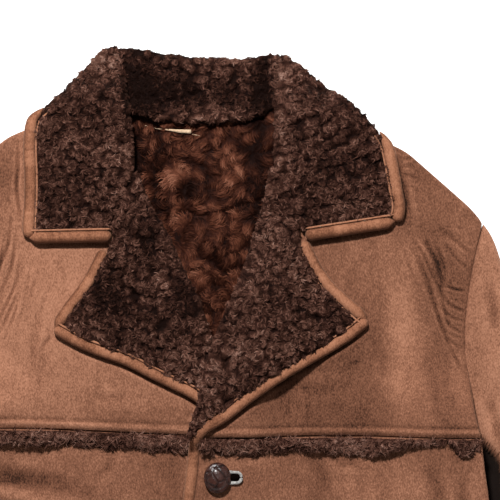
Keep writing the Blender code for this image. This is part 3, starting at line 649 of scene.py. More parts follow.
def skin(name, plan, rims, form, materials, tone=0.0, extra=0.0, split=False):
    """A panel of the body, skin out and pile in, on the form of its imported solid. Its top takes the
    second material if it is split."""
    x = plan[..., 0]
    y = plan[..., 1]
    top = form.top(x, y)
    low = form.low(x, y)
    fold = crease_field(x, y, CREASES.get(name, []))
    lift = fold + grain(x, y) + extra
    # Painted shade: darker in the troughs of creases, of the seam's grooves and of the troughs pressed beside
    # bindings, lighter on their ridges; the patches add wear and painted shade and light.
    shade = tone + patches(x, y, WEAR_AND_SHADE) + 0.36 * np.clip(fold + extra, -2.5, 1.0)
    points, faces, shades, surface = shell_parts(plan, top, low, rims, shade, lift)
    inside = None
    if split:
        inside = np.zeros(len(faces), int)
        inside[:(plan.shape[0] - 1) * (plan.shape[1] - 1)] = 1
    return piece(name + "_cloth", points, faces, materials, "suede", shades, inside, name), surface


def grown(run, taper):
    """How far a tapering roll has grown, from a thin tip to 1."""
    part = np.clip(run / taper, 0, 1)
    return 0.12 + 0.88 * part * (2 - part)


def sweep_parts(path, radius, sides=10, seed=0, pucker=0.0, flat=1.0, taper=0.0, shaded_side=0):
    """A soft round roll along a path of points, with puckers across it and round ends. Its top is painted
    lighter and its sides darker as light from above falls, and its right side gets more painted shade where
    shaded_side is 1, its left side where it is -1."""
    path = np.asarray(path, float)
    runs = np.gradient(path, axis=0)
    runs /= np.linalg.norm(runs, axis=1)[:, None]
    across = np.cross(runs, [0.0, 0.0, 1.0])
    across /= np.linalg.norm(across, axis=1)[:, None]
    up = np.cross(across, runs)
    run = run_along(path)
    cap = np.maximum(quarter_round(np.minimum(run, run[-1] - run) / radius), math.sqrt(0.02))
    if taper:
        cap = cap * grown(run, taper)
    turn = np.arange(sides) * math.tau / sides
    fine = drift(run[:, None] + 0 * turn, 3.0 * np.sin(turn)[None] + 0 * run[:, None], 3.2, seed)
    long = drift(run[:, None] + 0 * turn, 0 * turn[None] + 0 * run[:, None], 17.0, seed + 9)
    size = radius * cap[:, None] * (1 + pucker * fine + 0.02 * long)
    points = (path[:, None] + size[..., None] * (np.cos(turn)[None, :, None] * across[:, None]
              + flat * np.sin(turn)[None, :, None] * up[:, None]))
    grid = numbered(len(path), sides)
    caps = []
    for row, way in ((grid[0], -1), (grid[-1], 1)):
        for k in range(1, sides - 2, 2):
            caps.append(np.array([row[0], row[k], row[k + 1], row[k + 2]])[::way])
    faces = np.vstack([ring_faces(grid), np.array(caps)])[:, ::-1]
    # Painted light and shade: the roll's top is lighter and its sides darker, as light from above falls.
    shade = 0.22 * fine + 0.32 * long + 0.42 * (np.sin(turn)[None] - 0.4)
    # Painted shade on the outer side, away from the lip.
    shade = shade - OUTER_SIDE_SHADE * np.clip(shaded_side * np.cos(turn)[None], 0, 1) ** 1.5
    return points.reshape(-1, 3), faces, shade


def rolled(name, plan_paths, form, step=1.0, lip=0, heights=None, radius=BINDING_RADIUS, taper=0.0,
           lift=BINDING_LIFT, sink=0.0, last_lip=True, tones=((0.0, 0.0), (0.0, 0.0))):
    """Rolled edge bindings in place of a packed one, along paths in plan. A lip of the skin's cut edge
    shows beside them, on the right for a lip of 1 and on the left for -1, and can be left off the last
    path. That path has sunk this far at its end. tones holds how light each path is at its two ends."""
    parts = []
    for index, plan_path in enumerate(plan_paths):
        is_last = index == len(plan_paths) - 1
        curve = through(plan_path, step)
        for _ in range(3):
            curve[1:-1] = (curve[:-2] + 2 * curve[1:-1] + curve[2:]) / 4
        z = form.middle(curve[:, 0], curve[:, 1]) if heights is None else heights(curve)
        z = z + lift
        if is_last:
            z = z - sink * np.sqrt(np.linspace(0, 1, len(curve)))
        points, faces, shade = sweep_parts(np.column_stack([curve, z]), radius, 12, len(name) + index, 0.018,
                                           taper=MITRE if index else taper, shaded_side=-lip)
        parts.append((points, faces, shade + np.linspace(*tones[index], len(curve))[:, None]))
        if lip and (last_lip or not is_last):
            side = beside(curve[::3], lip * (radius + LIP_RADIUS * 0.5))
            wave = 0.3 * drift(side[:, 0], side[:, 1], 5.0, 77)
            line = np.column_stack([side, z[::3] + LIP_HEIGHT + wave])
            points, faces, shade = sweep_parts(line, LIP_RADIUS, 6, 7, 0.12, 0.7)
            parts.append((points, faces, shade + 0.3))
    points, faces, shade = join(parts)
    return piece(name + "_roll", points, faces, [BINDING], "binding", shade, replaces=name)


# ---------------------------------------------------------------- wool

random = np.random.default_rng(11)


def woolly(surface, size, height, seed):
    """A grid surface raised in clumps along its normals, and how near each point is to a clump's top."""
    across = np.gradient(surface, axis=1)
    up = np.gradient(surface, axis=0)
    normal = np.cross(across, up)
    normal /= np.linalg.norm(normal, axis=2)[..., None] + 1e-9
    normal *= np.sign(normal[..., 2].sum())
    x = surface[..., 0]
    y = surface[..., 1]
    big = clumps(*warped(x, y, size, seed), size, seed)[0]
    small = clumps(x, y, size * 0.5, seed + 5)[0]
    rise = height * (0.75 - 1.9 * big ** 2) + 0.3 * height * (0.6 - small) + 0.35 * height * drift(
        x, y, 3.2 * size, seed + 8)
    return surface + normal * rise[..., None], np.clip(1 - 1.35 * big, 0, 1)


def wool_tone(x, y, places=WOOL_TONE_AND_SHADE):
    """How light or dark the wool is over the plan: tone, and the painted shade and light of its places."""
    return 0.07 * drift(x, y, 30.0, 15) + patches(x, y, places)


def fleece_parts(surface, density, length, lift, width, size, seed, combed=(0.0, 0.0), edge=8.0,
                 flow=0.0, places=WOOL_TONE_AND_SHADE):
    """Curled locks over a grid surface: bent tapering ribbons that turn round their clump."""
    a = surface[:-1, :-1].reshape(-1, 3)
    b = surface[:-1, 1:].reshape(-1, 3)
    c = surface[1:, :-1].reshape(-1, 3)
    d = surface[1:, 1:].reshape(-1, 3)
    area = np.linalg.norm(np.cross(b - a, c - a), axis=1)
    count = int(area.sum() * density)
    cell = random.choice(len(area), count, p=area / area.sum())
    u = random.random((count, 1))
    v = random.random((count, 1))
    root = (a[cell] * (1 - u) + b[cell] * u) * (1 - v) + (c[cell] * (1 - u) + d[cell] * u) * v
    normal = np.cross(b[cell] - a[cell], c[cell] - a[cell])
    normal /= np.linalg.norm(normal, axis=1)[:, None] + 1e-9
    normal *= np.sign(normal[:, 2].sum())
    short = np.ones(count)
    if edge:
        from_edge = np.minimum.reduce(side_distances(surface))[:-1, :-1].ravel()[cell]
        short = np.clip(0.25 + 0.75 * from_edge / edge, 0, 1)
    far, gap_x, gap_y, number = clumps(*warped(root[:, 0], root[:, 1], size, seed), size, seed)
    hand = np.where(number > 0.5, 1.0, -1.0)
    angle = np.arctan2(gap_y, gap_x) + hand * (0.9 + 1.1 * number)
    lean = number * 37.0
    stream = 4.0 * drift(root[:, 0], root[:, 1], 3.0 * size, seed + 13) + 1.2 * drift(
        root[:, 0], root[:, 1], size, seed + 14)
    swirl = 1 - flow
    way = np.stack([swirl * (np.cos(angle) + 0.6 * np.cos(lean)) + flow * np.cos(stream) + combed[0],
                    swirl * (np.sin(angle) + 0.6 * np.sin(lean)) + flow * np.sin(stream) + combed[1],
                    np.zeros(count)], axis=1)
    way += 0.14 * random.normal(size=(count, 3))
    way -= (way * normal).sum(axis=1)[:, None] * normal
    way /= np.linalg.norm(way, axis=1)[:, None] + 1e-9
    side = np.cross(normal, way)
    long = length * (short * (0.6 + 0.7 * random.random(count)))[:, None]
    bend = (hand * (0.35 + 0.4 * random.random(count)))[:, None]
    rise = (short * lift * (0.5 + 0.8 * random.random(count)) * (1.2 - np.clip(far, 0, 1)))[:, None]
    roll = random.normal(scale=0.38, size=count)[:, None]
    wide = width * (0.7 + 0.6 * random.random(count))[:, None]
    rings = []
    tones = []
    # Painted shade: locks are darker further from their clump's middle, into the gaps; each clump also has a
    # tone of its own.
    own = 0.24 * (number - 0.5) + 0.05 * random.normal(size=count) + 0.95 * (0.40 - far)
    own = own + wool_tone(root[:, 0], root[:, 1], places)
    for ring, s in enumerate((0.0, 0.5, 1.0)):
        spot = (root + way * long * s * (1 - 0.3 * s) + side * bend * long * s * s
                + normal * (rise * math.sin(math.pi * (0.08 + 0.72 * s)) - 0.25 * lift))
        tip = way * (1 - 0.6 * s) + side * bend * 2 * s
        tip /= np.linalg.norm(tip, axis=1)[:, None] + 1e-9
        flat = np.cross(normal, tip) * np.cos(roll) + normal * np.sin(roll)
        half = flat * wide * (0.5, 0.6, 0.14)[ring]
        rings.append(np.stack([spot - half, spot + half], axis=1))
        # Painted light and shade: lighter towards the tip, darker at the root.
        tone = 0.17 + 0.30 * s + own
        tones.append(np.stack([tone, tone], axis=1))
    points = np.stack(rings, axis=1)
    base = (np.arange(count) * 6)[:, None, None]
    strip = np.array([[0, 1, 3, 2], [2, 3, 5, 4]])[None]
    return points.reshape(-1, 3), (base + strip).reshape(-1, 4), np.stack(tones, axis=1).ravel()


# ---------------------------------------------------------------- materials

def material(name, roughness, sheen, tint, specular=0.35):
    made = bpy.data.materials.new(name)
    made.use_nodes = True
    shader = made.node_tree.nodes["Principled BSDF"]
    shader.inputs["Roughness"].default_value = roughness
    shader.inputs["Sheen Weight"].default_value = sheen
    shader.inputs["Sheen Roughness"].default_value = 0.45
    shader.inputs["Sheen Tint"].default_value = (*tint, 1.0)
    shader.inputs["Specular IOR Level"].default_value = specular
    return made, made.node_tree, shader


def noise(tree, scale, detail=3.0, stretch=(1.0, 1.0, 1.0), distortion=0.0):
    """A noise texture in object space, its scale in lumps a metre."""
    where = tree.nodes.new("ShaderNodeTexCoord")
    mapping = tree.nodes.new("ShaderNodeMapping")
    mapping.inputs["Scale"].default_value = stretch
    texture = tree.nodes.new("ShaderNodeTexNoise")
    texture.inputs["Scale"].default_value = scale
    texture.inputs["Detail"].default_value = detail
    texture.inputs["Distortion"].default_value = distortion
    tree.links.new(where.outputs["Object"], mapping.inputs["Vector"])
    tree.links.new(mapping.outputs["Vector"], texture.inputs["Vector"])
    return texture.outputs["Fac"]


def maths(tree, operation, *values):
    """The result of a maths node, each value a number or another node's output."""
    node = tree.nodes.new("ShaderNodeMath")
    node.operation = operation
    for socket, value in zip(node.inputs, values):
        if isinstance(value, (int, float)):
            socket.default_value = value
        else:
            tree.links.new(value, socket)
    return node.outputs[0]


def scaled(tree, value, factor, plus=0.0):
    return maths(tree, "MULTIPLY_ADD", value, factor, plus)


def summed(tree, values):
    total = values[0]
    for value in values[1:]:
        total = maths(tree, "ADD", total, value)
    return total


def cracks(tree, scale, width):
    """0 along the edges of cells, this many to a metre, rising to 1 at this distance in metres."""
    where = tree.nodes.new("ShaderNodeTexCoord")
    texture = tree.nodes.new("ShaderNodeTexVoronoi")
    texture.feature = "DISTANCE_TO_EDGE"
    texture.inputs["Scale"].default_value = scale
    tree.links.new(where.outputs["Object"], texture.inputs["Vector"])
    return maths(tree, "MINIMUM", scaled(tree, texture.outputs["Distance"], 1.0 / (width * scale)), 1.0)


def ramp(tree, value, stops):
    node = tree.nodes.new("ShaderNodeValToRGB")
    node.color_ramp.interpolation = "LINEAR"
    while len(node.color_ramp.elements) < len(stops):
        node.color_ramp.elements.new(0.5)
    for element, (place, colour) in zip(node.color_ramp.elements, stops):
        element.position = place
        element.color = (*colour, 1.0)
    tree.links.new(value, node.inputs[0])
    return node.outputs["Color"]


def bumped(tree, shader, value, distance, strength):
    node = tree.nodes.new("ShaderNodeBump")
    node.inputs["Distance"].default_value = distance
    node.inputs["Strength"].default_value = strength
    tree.links.new(value, node.inputs["Height"])
    tree.links.new(node.outputs["Normal"], shader.inputs["Normal"])


def shade_of(tree):
    node = tree.nodes.new("ShaderNodeAttribute")
    node.attribute_name = "shade"
    return node.outputs["Fac"]


def suede(name, stops):
    """Nap that lies in patches, lighter and darker by the shade attribute (wear, and painted shade and
    light), with a fine grain.
    """
    made, tree, shader = material(name, 0.88, 0.15, (1.0, 0.62, 0.42), specular=0.12)
    fine = noise(tree, 900.0, 4.0, (1.0, 0.55, 1.0))
    value = summed(tree, [
        scaled(tree, shade_of(tree), 0.38, 0.625),
        scaled(tree, noise(tree, 13.0, 4.0, distortion=0.6), 0.40, -0.20),
        scaled(tree, noise(tree, 60.0, 4.0, (1.0, 0.5, 1.0), 0.4), 0.28, -0.14),
        scaled(tree, noise(tree, 260.0, 3.0, (1.0, 0.6, 1.0)), 0.26, -0.13),
        scaled(tree, fine, 1.0, -0.5)])
    tree.links.new(ramp(tree, value, stops), shader.inputs["Base Color"])
    relief = summed(tree, [fine, scaled(tree, noise(tree, 330.0, 3.0), 0.8)])
    bumped(tree, shader, relief, 0.0008, 0.6)
    return made


def wool(name, stops, roughness=0.62):
    made, tree, shader = material(name, roughness, 0.05, (0.8, 0.45, 0.32), specular=0.025)
    value = summed(tree, [
        shade_of(tree),
        scaled(tree, noise(tree, 28.0, 2.0), 0.5, -0.25),
        scaled(tree, noise(tree, 300.0, 2.0), 0.4, -0.2)])
    tree.links.new(ramp(tree, value, stops), shader.inputs["Base Color"])
    bumped(tree, shader, noise(tree, 1500.0, 2.0), 0.0006, 0.6)
    return made


SUEDE = suede("suede", [
    (0.0, (0.006, 0.003, 0.002)), (0.16, (0.050, 0.019, 0.010)), (0.30, (0.105, 0.041, 0.022)),
    (0.53, (0.182, 0.075, 0.042)), (0.71, (0.275, 0.120, 0.069)), (0.96, (0.395, 0.182, 0.109))])
BINDING = suede("binding_suede", [
    (0.28, (0.120, 0.044, 0.022)), (0.58, (0.250, 0.102, 0.054)), (0.92, (0.370, 0.164, 0.092))])
WOOL = wool("curly_wool", [
    (0.0, (0.007, 0.0026, 0.0018)), (0.35, (0.039, 0.0150, 0.0100)), (0.7, (0.135, 0.062, 0.043)),
    (1.0, (0.290, 0.165, 0.125))])
LINING = wool("lining_wool", [
    (0.0, (0.007, 0.0020, 0.0012)), (0.35, (0.036, 0.0105, 0.0058)), (0.7, (0.125, 0.041, 0.022)),
    (1.0, (0.270, 0.110, 0.066))], 0.5)


def button_leather():
    made, tree, shader = material("button_leather", 0.34, 0.0, (1.0, 1.0, 1.0), specular=0.3)
    cracked = cracks(tree, 115.0, 0.0016)
    value = summed(tree, [scaled(tree, noise(tree, 160.0, 4.0, distortion=1.5), 0.6, -0.1),
                          scaled(tree, cracked, 0.3)])
    colour = ramp(tree, value, [(0.1, (0.008, 0.003, 0.0022)), (0.5, (0.042, 0.0145, 0.0105)),
                                (0.8, (0.095, 0.040, 0.029))])
    tree.links.new(colour, shader.inputs["Base Color"])
    bumped(tree, shader, summed(tree, [cracked, noise(tree, 420.0, 3.0)]), 0.0007, 0.8)
    shader.inputs["Coat Weight"].default_value = 0.22
    shader.inputs["Coat Roughness"].default_value = 0.2
    return made


def thread(name, dark, light, sheen=0.2, specular=0.35):
    made, tree, shader = material(name, 0.8, sheen, (1.0, 1.0, 1.0), specular)
    colour = ramp(tree, noise(tree, 700.0, 3.0), [(0.3, dark), (0.7, light)])
    tree.links.new(colour, shader.inputs["Base Color"])
    bumped(tree, shader, noise(tree, 1800.0, 2.0), 0.0004, 0.6)
    return made


BUTTON = button_leather()
HOLE_THREAD = thread("buttonhole_thread", (0.18, 0.17, 0.16), (0.46, 0.44, 0.41))
HOLE_DARK = thread("buttonhole_shadow", (0.002, 0.001, 0.001), (0.005, 0.003, 0.002), 0.0, 0.0)
TAPE = thread("label_tape", (0.42, 0.27, 0.16), (0.70, 0.50, 0.33))


# ---------------------------------------------------------------- panels

def side_x(y):
    return soft_at(SIDE, y)


def front_x(y, side):
    return soft_at(FRONT_EDGE, y) + (0.0 if side > 0 else OVERLAP)


def back_plan(step):
    ys = HEM + (SIDE[-1, 0] - HEM) * fractions(790.0, step)
    across = 2 * fractions(2 * SIDE[0, 1], step) - 1
    edge = side_x(ys)[:, None] - SEAM_GAP
    x = across[None] * edge
    top = soft_at(TOP_LINE, np.abs(across) * SIDE[-1, 1], reach=5.0)[None]
    share = ((ys - HEM) / (SIDE[-1, 0] - HEM))[:, None]
    return laid(np.dstack([x, HEM + share * (top - HEM)]))


def front_plan(side, step):
    length = YOKE_SEAM - SEAM_GAP - HEM
    ys = HEM + length * fractions(length, step)
    across = fractions(265.0, step)[None]
    inner = front_x(ys, side)[:, None]
    outer = side * side_x(ys)[:, None]
    return laid(np.dstack([inner + (outer - inner) * across, ys[:, None] + 0 * across]))


def coons(bottom, top, left, right, u, v):
    """A grid filling four edges, each read at these fractions."""
    south = along(bottom, u)[None]
    north = along(top, u)[None]
    west = along(left, v)[:, None]
    east = along(right, v)[:, None]
    u = u[None, :, None]
    v = v[:, None, None]
    corners = ((south[:, :1] * (1 - u) + south[:, -1:] * u) * (1 - v)
               + (north[:, :1] * (1 - u) + north[:, -1:] * u) * v)
    return west * (1 - u) + east * u + south * (1 - v) + north * v - corners


def yoke_plan(side, fold, step):
    heights = np.linspace(YOKE_SEAM, fold[-1, 0], 60)
    setback = 5.0 + 12.0 * np.clip((heights - 258.0) / 30.0, 0, 1)
    inner = np.stack([soft_at(fold, heights) + side * setback, heights], axis=1)
    inner[-1] = (side * TOP_LINE[SHOULDER_FROM, 0], TOP_LINE[SHOULDER_FROM, 1])
    heights = np.linspace(YOKE_SEAM, SIDE[-1, 0], 50)
    armhole = np.stack([side * (side_x(heights) - SEAM_GAP), heights], axis=1)
    reach = np.linspace(TOP_LINE[SHOULDER_FROM, 0], TOP_LINE[-1, 0], 50)
    shoulder = np.stack([side * reach, soft_at(TOP_LINE, reach, reach=5.0)], axis=1)
    shoulder[0] = inner[-1]
    shoulder[-1] = armhole[-1]
    bottom = np.stack([inner[0], armhole[0]])
    plan = coons(bottom, shoulder, inner, armhole, fractions(235.0, step), fractions(270.0, step))
    return laid(plan)


def seam_band(plan):
    """The pressed seam at a yoke's lower edge: a row of stitching and a lip under it."""
    south = side_distances(plan)[0]
    return (-1.3 * np.exp(-((south - 9.0) / 1.2) ** 2) + 0.9 * np.exp(-((south - 5.5) / 2.2) ** 2)
            - 1.0 * np.exp(-((south - 2.0) / 0.8) ** 2))


def sleeve_parts(side, step):
    """A flat-lying tube: an outer skin and the slit between its two layers."""
    rows = 1 + int(SLEEVE_LENGTH / step)
    place = np.linspace(0, len(SLEEVE) - 1, rows)
    table = soft_rows(SLEEVE, place, 0.5)
    t = fractions(SLEEVE_ACROSS, step, rim=(0.7, 2.0, 4.0, 6.8, 10.5, 15.0))
    fade = np.clip(1 - place / 3, 0, 1)[:, None]

    def plan(t_values):
        bow = ARMHOLE_BOW * fade * 4 * t_values * (1 - t_values)
        x = table[:, :1] * (1 - t_values) + table[:, 2:3] * t_values + bow
        y = table[:, 1:2] * (1 - t_values) + table[:, 3:4] * t_values
        return laid(np.dstack([side * x, y]))

    outer = plan(t[None])
    inner = plan((0.06 + 0.88 * t)[None])
    height = table[:, 4:5] + (table[:, 5:6] - table[:, 4:5]) * np.clip(t[None] / 0.7, 0, 1)
    edge = np.minimum(t, 1 - t)[None] * SLEEVE_ACROSS
    round_side = quarter_round(edge / SLEEVE_ROUND)
    name = "sleeve_left" if side > 0 else "sleeve_right"
    x = outer[..., 0]
    y = outer[..., 1]
    fold = crease_field(x, y, CREASES[name])
    ends = np.minimum(place * 4, 1.0)[:, None]
    under_body = np.clip((np.abs(x) - np.interp(y, SIDE[:, 0], SIDE[:, 1]) + 4) / 16, 0, 1)
    under_body = np.where(y > 62.0, 1.0, under_body)
    hollow = np.clip((73.0 - y) * 0.95, 0, 17.0)
    gap_by_side = np.clip((hollow + at(SIDE, y) - np.abs(x)) / 7.0 + 0.5, 0, 1) * (y < 73.0)
    gap_by_side = gap_by_side * np.clip((y + 70.0) / 70.0, 0, 1)
    lift = (fold + 1.3 * grain(x, y)) * ends * under_body - 15.0 * gap_by_side
    middle = height * 0.5
    seam = 1.0 - 0.12 * np.exp(-(place * 37 / 3.0) ** 2)[:, None]
    upper = middle + (height * seam - middle) * round_side + lift * round_side
    lower = middle * (1 - round_side)
    slit = np.minimum(middle, upper - 3.0)
    layers = [np.dstack([outer, upper]), np.dstack([outer, lower])[:, -2:0:-1],
              np.dstack([inner, slit + SLEEVE_SLIT / 2]),
              np.dstack([inner, slit - SLEEVE_SLIT / 2])[:, -2:0:-1]]
    ring = np.concatenate(layers[:2], axis=1)
    slit_ring = np.concatenate(layers[2:], axis=1)
    count = ring.shape[1]
    points = np.vstack([ring.reshape(-1, 3), slit_ring.reshape(-1, 3)])
    grid = numbered(rows, count)
    beyond = np.roll(grid, -1, axis=1)
    tube = ring_faces(grid)
    inside = tube[:, ::-1] + rows * count
    caps = []
    for row, way in ((0, 1), (rows - 1, -1)):
        cap = np.stack([grid[row], grid[row] + rows * count, beyond[row] + rows * count, beyond[row]],
                       axis=-1)
        caps.append(cap[:, ::way])
    faces = np.vstack([tube, inside] + caps)
    if side > 0:
        faces = faces[:, ::-1]
    # The patches hold wear, and painted shade and light.
    tone = 0.03 + patches(ring[..., 0], ring[..., 1], WEAR_AND_SHADE)
    # Painted shade: darker in the creases' troughs, lighter on their ridges.
    tone[:, :len(t)] += 0.28 * np.clip(fold, -2.5, 1.0)
    # Painted shadow: the hollow beside the body is darkened to black.
    tone[:, :len(t)] -= 2.6 * gap_by_side
    shades = np.concatenate([tone.ravel(), 0 * tone.ravel()])
    return name, points, faces, shades


def leaf_grid(table, columns, step):
    """A grid over rows of (start x, y, end x, y), softened along the rows."""
    soft = soft_rows(table, np.linspace(0, len(table) - 1, 400), 0.45)
    middle = (soft[:, :2] + soft[:, 2:]) / 2
    length = length_of(middle)
    share = fractions(length, step, rim=(0.6, 1.7, 3.2, 5.2))
    run = run_along(middle)
    rows = np.stack([np.interp(share * run[-1], run, soft[:, k]) for k in range(4)], axis=1)
    across = fractions(columns, step, rim=(0.6, 1.7, 3.2, 5.2))[None, :, None]
    return rows[:, None, :2] * (1 - across) + rows[:, None, 2:] * across


def wool_leaf(plan, form, rims, seed, reach=None):
    """Parts of a closed leaf whose top is woolly, and that top surface."""
    x = plan[..., 0]
    y = plan[..., 1]
    if reach is not None:
        x = np.clip(x, *reach)
    top = form.top(x, y) - LEAF_SINK
    low = form.low(x, y)
    shade = np.zeros(x.shape)
    points, faces, shades, surface = shell_parts(plan, top, low, rims, shade)
    raised, tops = woolly(surface, CURL_SIZE, CURL_HEIGHT, seed)
    fall = rounding(plan, (2.5, 2.5, 2.5, 2.5))[..., None]
    raised = surface + (raised - surface) * np.clip(fall + 0.35, 0, 1)
    raised[[0, -1]] = surface[[0, -1]]
    raised[:, [0, -1]] = surface[:, [0, -1]]
    points[:x.size] = raised.reshape(-1, 3)
    # Painted shade and light: darker between the clumps, lighter on their tops.
    shades[:x.size] = (0.02 + 0.40 * tops + wool_tone(x, y)).ravel()
    return (points, faces, shades), raised


def curls(surface, seed):
    """The locks of the collar and the lapels."""
    return fleece_parts(surface, LOCKS_EACH_MM2, 4.5, 1.2, 0.82, CURL_SIZE, seed)


pieces = {}

# Back, with its pile side up, and the lining pile that shows in the neck.
back_form = Form("back")
pieces["back"], _ = skin("back", back_plan(10.0), (4, 4, 4, 4), back_form, [SUEDE, LINING], split=True)

neck_outline = np.array([(75.0, -8.0, 28.0), (120.0, -2.0, 18.0), (166.0, 8.0, 6.0), (200.0, 26.0, -10.0),
                         (252.0, 46.0, -38.0), (300.0, 58.0, -64.0), (345.0, 74.0, -78.0),
                         (374.0, 70.0, -78.0)])


def neck_plan(step, margin=9.0):
    ys = np.linspace(neck_outline[0, 0], neck_outline[-1, 0], int(287 / step))
    right = at(neck_outline, ys, 2)
    left = at(neck_outline, ys, 1)
    low_x = np.minimum(right, left) - margin
    high_x = np.maximum(right, left) + margin
    across = np.linspace(0, 1, int(150 / step))[None]
    x = low_x[:, None] * (1 - across) + high_x[:, None] * across
    return np.dstack([x, ys[:, None] + 0 * x])


neck = neck_plan(2.2)
lining_top = back_form.top(neck[..., 0], neck[..., 1]) + 0.6
lining_top += 1.6 * drift(neck[..., 0], 0.5 * neck[..., 1], 26.0, 21)
lining, lining_tops = woolly(np.dstack([neck, lining_top]), LINING_CLUMP, 2.6, 31)
# Painted shade and light: darker between the clumps, lighter on their tops.
lining_shade = 0.05 + 0.4 * lining_tops + wool_tone(neck[..., 0], neck[..., 1], LINING_TONE_AND_SHADE)
pieces["lining_pile"] = piece("lining_pile", lining.reshape(-1, 3), grid_faces(numbered(*lining.shape[:2])),
                              [LINING], "wool", lining_shade.ravel())
points, faces, shades = fleece_parts(lining, 0.8, 8.0, 1.5, 0.66, LINING_CLUMP, 31, combed=(0.1, -0.25),
                                     edge=0.0, flow=0.8, places=LINING_TONE_AND_SHADE)
pieces["lining_locks"] = piece("lining_locks", points, faces, [LINING], "wool", shades)

# Sleeves, fronts and yokes.
for _, sign in SIDES:
    name, points, faces, shades = sleeve_parts(sign, 6.0)
    pieces[name] = piece(name + "_cloth", points, faces, [SUEDE], "suede", shades, replaces=name)


def pressed(edge, offset):
    """A trough in the cloth just outside an edge that presses on it."""
    return (beside(np.array(edge, float), offset).tolist(), 2.3, PRESSED_DEPTH)


# The third value says which rows of the lapel's table are its lower edge.
for name, lapel, rows, leaf, sign in (
    ("yoke_left", LAPEL_LEFT, slice(1, 8), LEAF_LEFT, 1),
    ("yoke_right", LAPEL_RIGHT, slice(0, 7), LEAF_RIGHT, -1),
):
    CREASES[name].append(pressed(lapel[rows][:, [2, 0]], sign * (2 * BINDING_OFFSET + PRESS_GAP)))
    CREASES[name].append(pressed([leaf[0, 2:4], leaf[0, 2:4] * 0.5 + leaf[0, 0:2] * 0.5, leaf[0, 0:2]],
                                 -sign * (2 * COLLAR_BINDING_OFFSET + PRESS_GAP)))

surfaces = {}
for side_name, sign in SIDES:
    name = "front_lower_" + side_name
    pieces[name], surfaces[name] = skin(name, front_plan(sign, 4.4), (3.5, 3.0, 3.5, 3.5), Form(name),
                                        [SUEDE], -0.32)

for name, sign, fold, tone in (("yoke_left", 1, ROLL_LEFT, -0.47), ("yoke_right", -1, ROLL_RIGHT, 0.05)):
    plan = yoke_plan(sign, fold, 1.8)
    pieces[name], _ = skin(name, plan, (2.4, 5.0, 4.0, 2.6), Form(name), [SUEDE], tone, seam_band(plan))

# Lapels: wool leaves.
for name, table, seed in (("lapel_left", LAPEL_LEFT, 60), ("lapel_right", LAPEL_RIGHT, 61)):
    plan = leaf_grid(table[:, [1, 0, 2, 0]], 95.0, 2.1)
    parts, surface = wool_leaf(plan, Form(name, 2.0, 5.0), (4.0, 4.0, 7.0, 6.0), seed)
    pieces[name] = piece(name + "_leaf", *parts[:2], [WOOL], "wool", parts[2], replaces=name)
    locks = curls(surface, seed)
    pieces[name + "_locks"] = piece(name + "_locks", *locks[:2], [WOOL], "wool", locks[2])

# Collar: two leaves and the band behind the neck, one piece of cloth.
collar_form = Form("collar", 2.0, 3.5)
band_rows = BAND[:, [0, 1, 0, 2]]
collar_parts = []
collar_locks = []
for rows, rims, seed, reach in (
    (LEAF_RIGHT, (6.0, 7.0, 7.0, 7.0), 61, None), (LEAF_LEFT, (6.0, 7.0, 7.0, 7.0), 67, None),
    (band_rows, (3.0, 3.0, 3.0, 7.0), 71, (-50.0, 44.0)),
):
    plan = leaf_grid(rows, 75.0, 1.9)
    parts, surface = wool_leaf(plan, collar_form, rims, seed, reach=reach)
    collar_parts.append(parts)
    collar_locks.append(curls(surface, seed))
points, faces, shades = join(collar_parts)
pieces["collar"] = piece("collar_cloth", points, faces, [WOOL], "wool", shades, replaces="collar")
points, faces, shades = join(collar_locks)
pieces["collar_locks"] = piece("collar_locks", points, faces, [WOOL], "wool", shades)

# ---------------------------------------------------------------- bindings

def collar_binding(name, table, turn):
    """Down a leaf's outer side to its corner, and from there along its end to the notch."""
    side = [table[6, 2:4], (table[6, 2:4] + table[5, 2:4]) / 2] + [row[2:4] for row in table[5:0:-1]]
    end = [table[0, 2:4] * (1 - t) + table[0, 0:2] * t for t in (0.0, 0.2, 0.45, 0.7, 0.98)]
    edge = np.array(side + end)
    path = beside(edge, turn * COLLAR_BINDING_OFFSET * grown(run_along(edge), COLLAR_TAPER))
    corner = len(side)
    return rolled(name, [path[:corner + 1], path[corner:]], Form(name, 1.5, 4.0), lip=-turn,
                  radius=COLLAR_BINDING_RADIUS, taper=COLLAR_TAPER, sink=-2.2,
                  tones=((-0.15, -0.3), (-0.2, -0.75)))


def lapel_binding(name, table, side, rows, lift, sink=0.0, last_lip=True):
    """From the front edge to the leaf's tip, and from there up to the notch."""
    edge = table[rows][:, [2, 0]]
    tip = int(np.argmax(side * edge[:, 0]))
    path = beside(edge, side * BINDING_OFFSET)
    return rolled(name, [path[:tip + 1], path[tip:]], Form(name, 1.5, 4.0), lip=-side,
                  radius=LAPEL_BINDING_RADIUS, lift=lift, sink=sink, last_lip=last_lip,
                  tones=((-0.35, -0.15), (-0.05, -0.2)))


def front_heights(form, lapel_form):
    """The left front's binding climbs on to the lapel that it runs into."""
    def heights(curve):
        own = form.middle(curve[:, 0], np.minimum(curve[:, 1], 68.0))
        other = lapel_form.middle(curve[:, 0], np.maximum(curve[:, 1], 92.0))
        share = eased(np.clip((curve[:, 1] - 62.0) / 30.0, 0, 1))
        return own * (1 - share) + other * share + FRONT_RISE * 4 * share * (1 - share) - 1.5 * share
    return heights


# Where the left front's binding curves up into the lapel's.
FRONT_TO_LAPEL = np.array([(-10.4, 70.0), (-8.2, 77.0), (-3.6, 83.5), (3.0, 88.0), (10.0, 92.5),
                           (18.0, 97.5)])


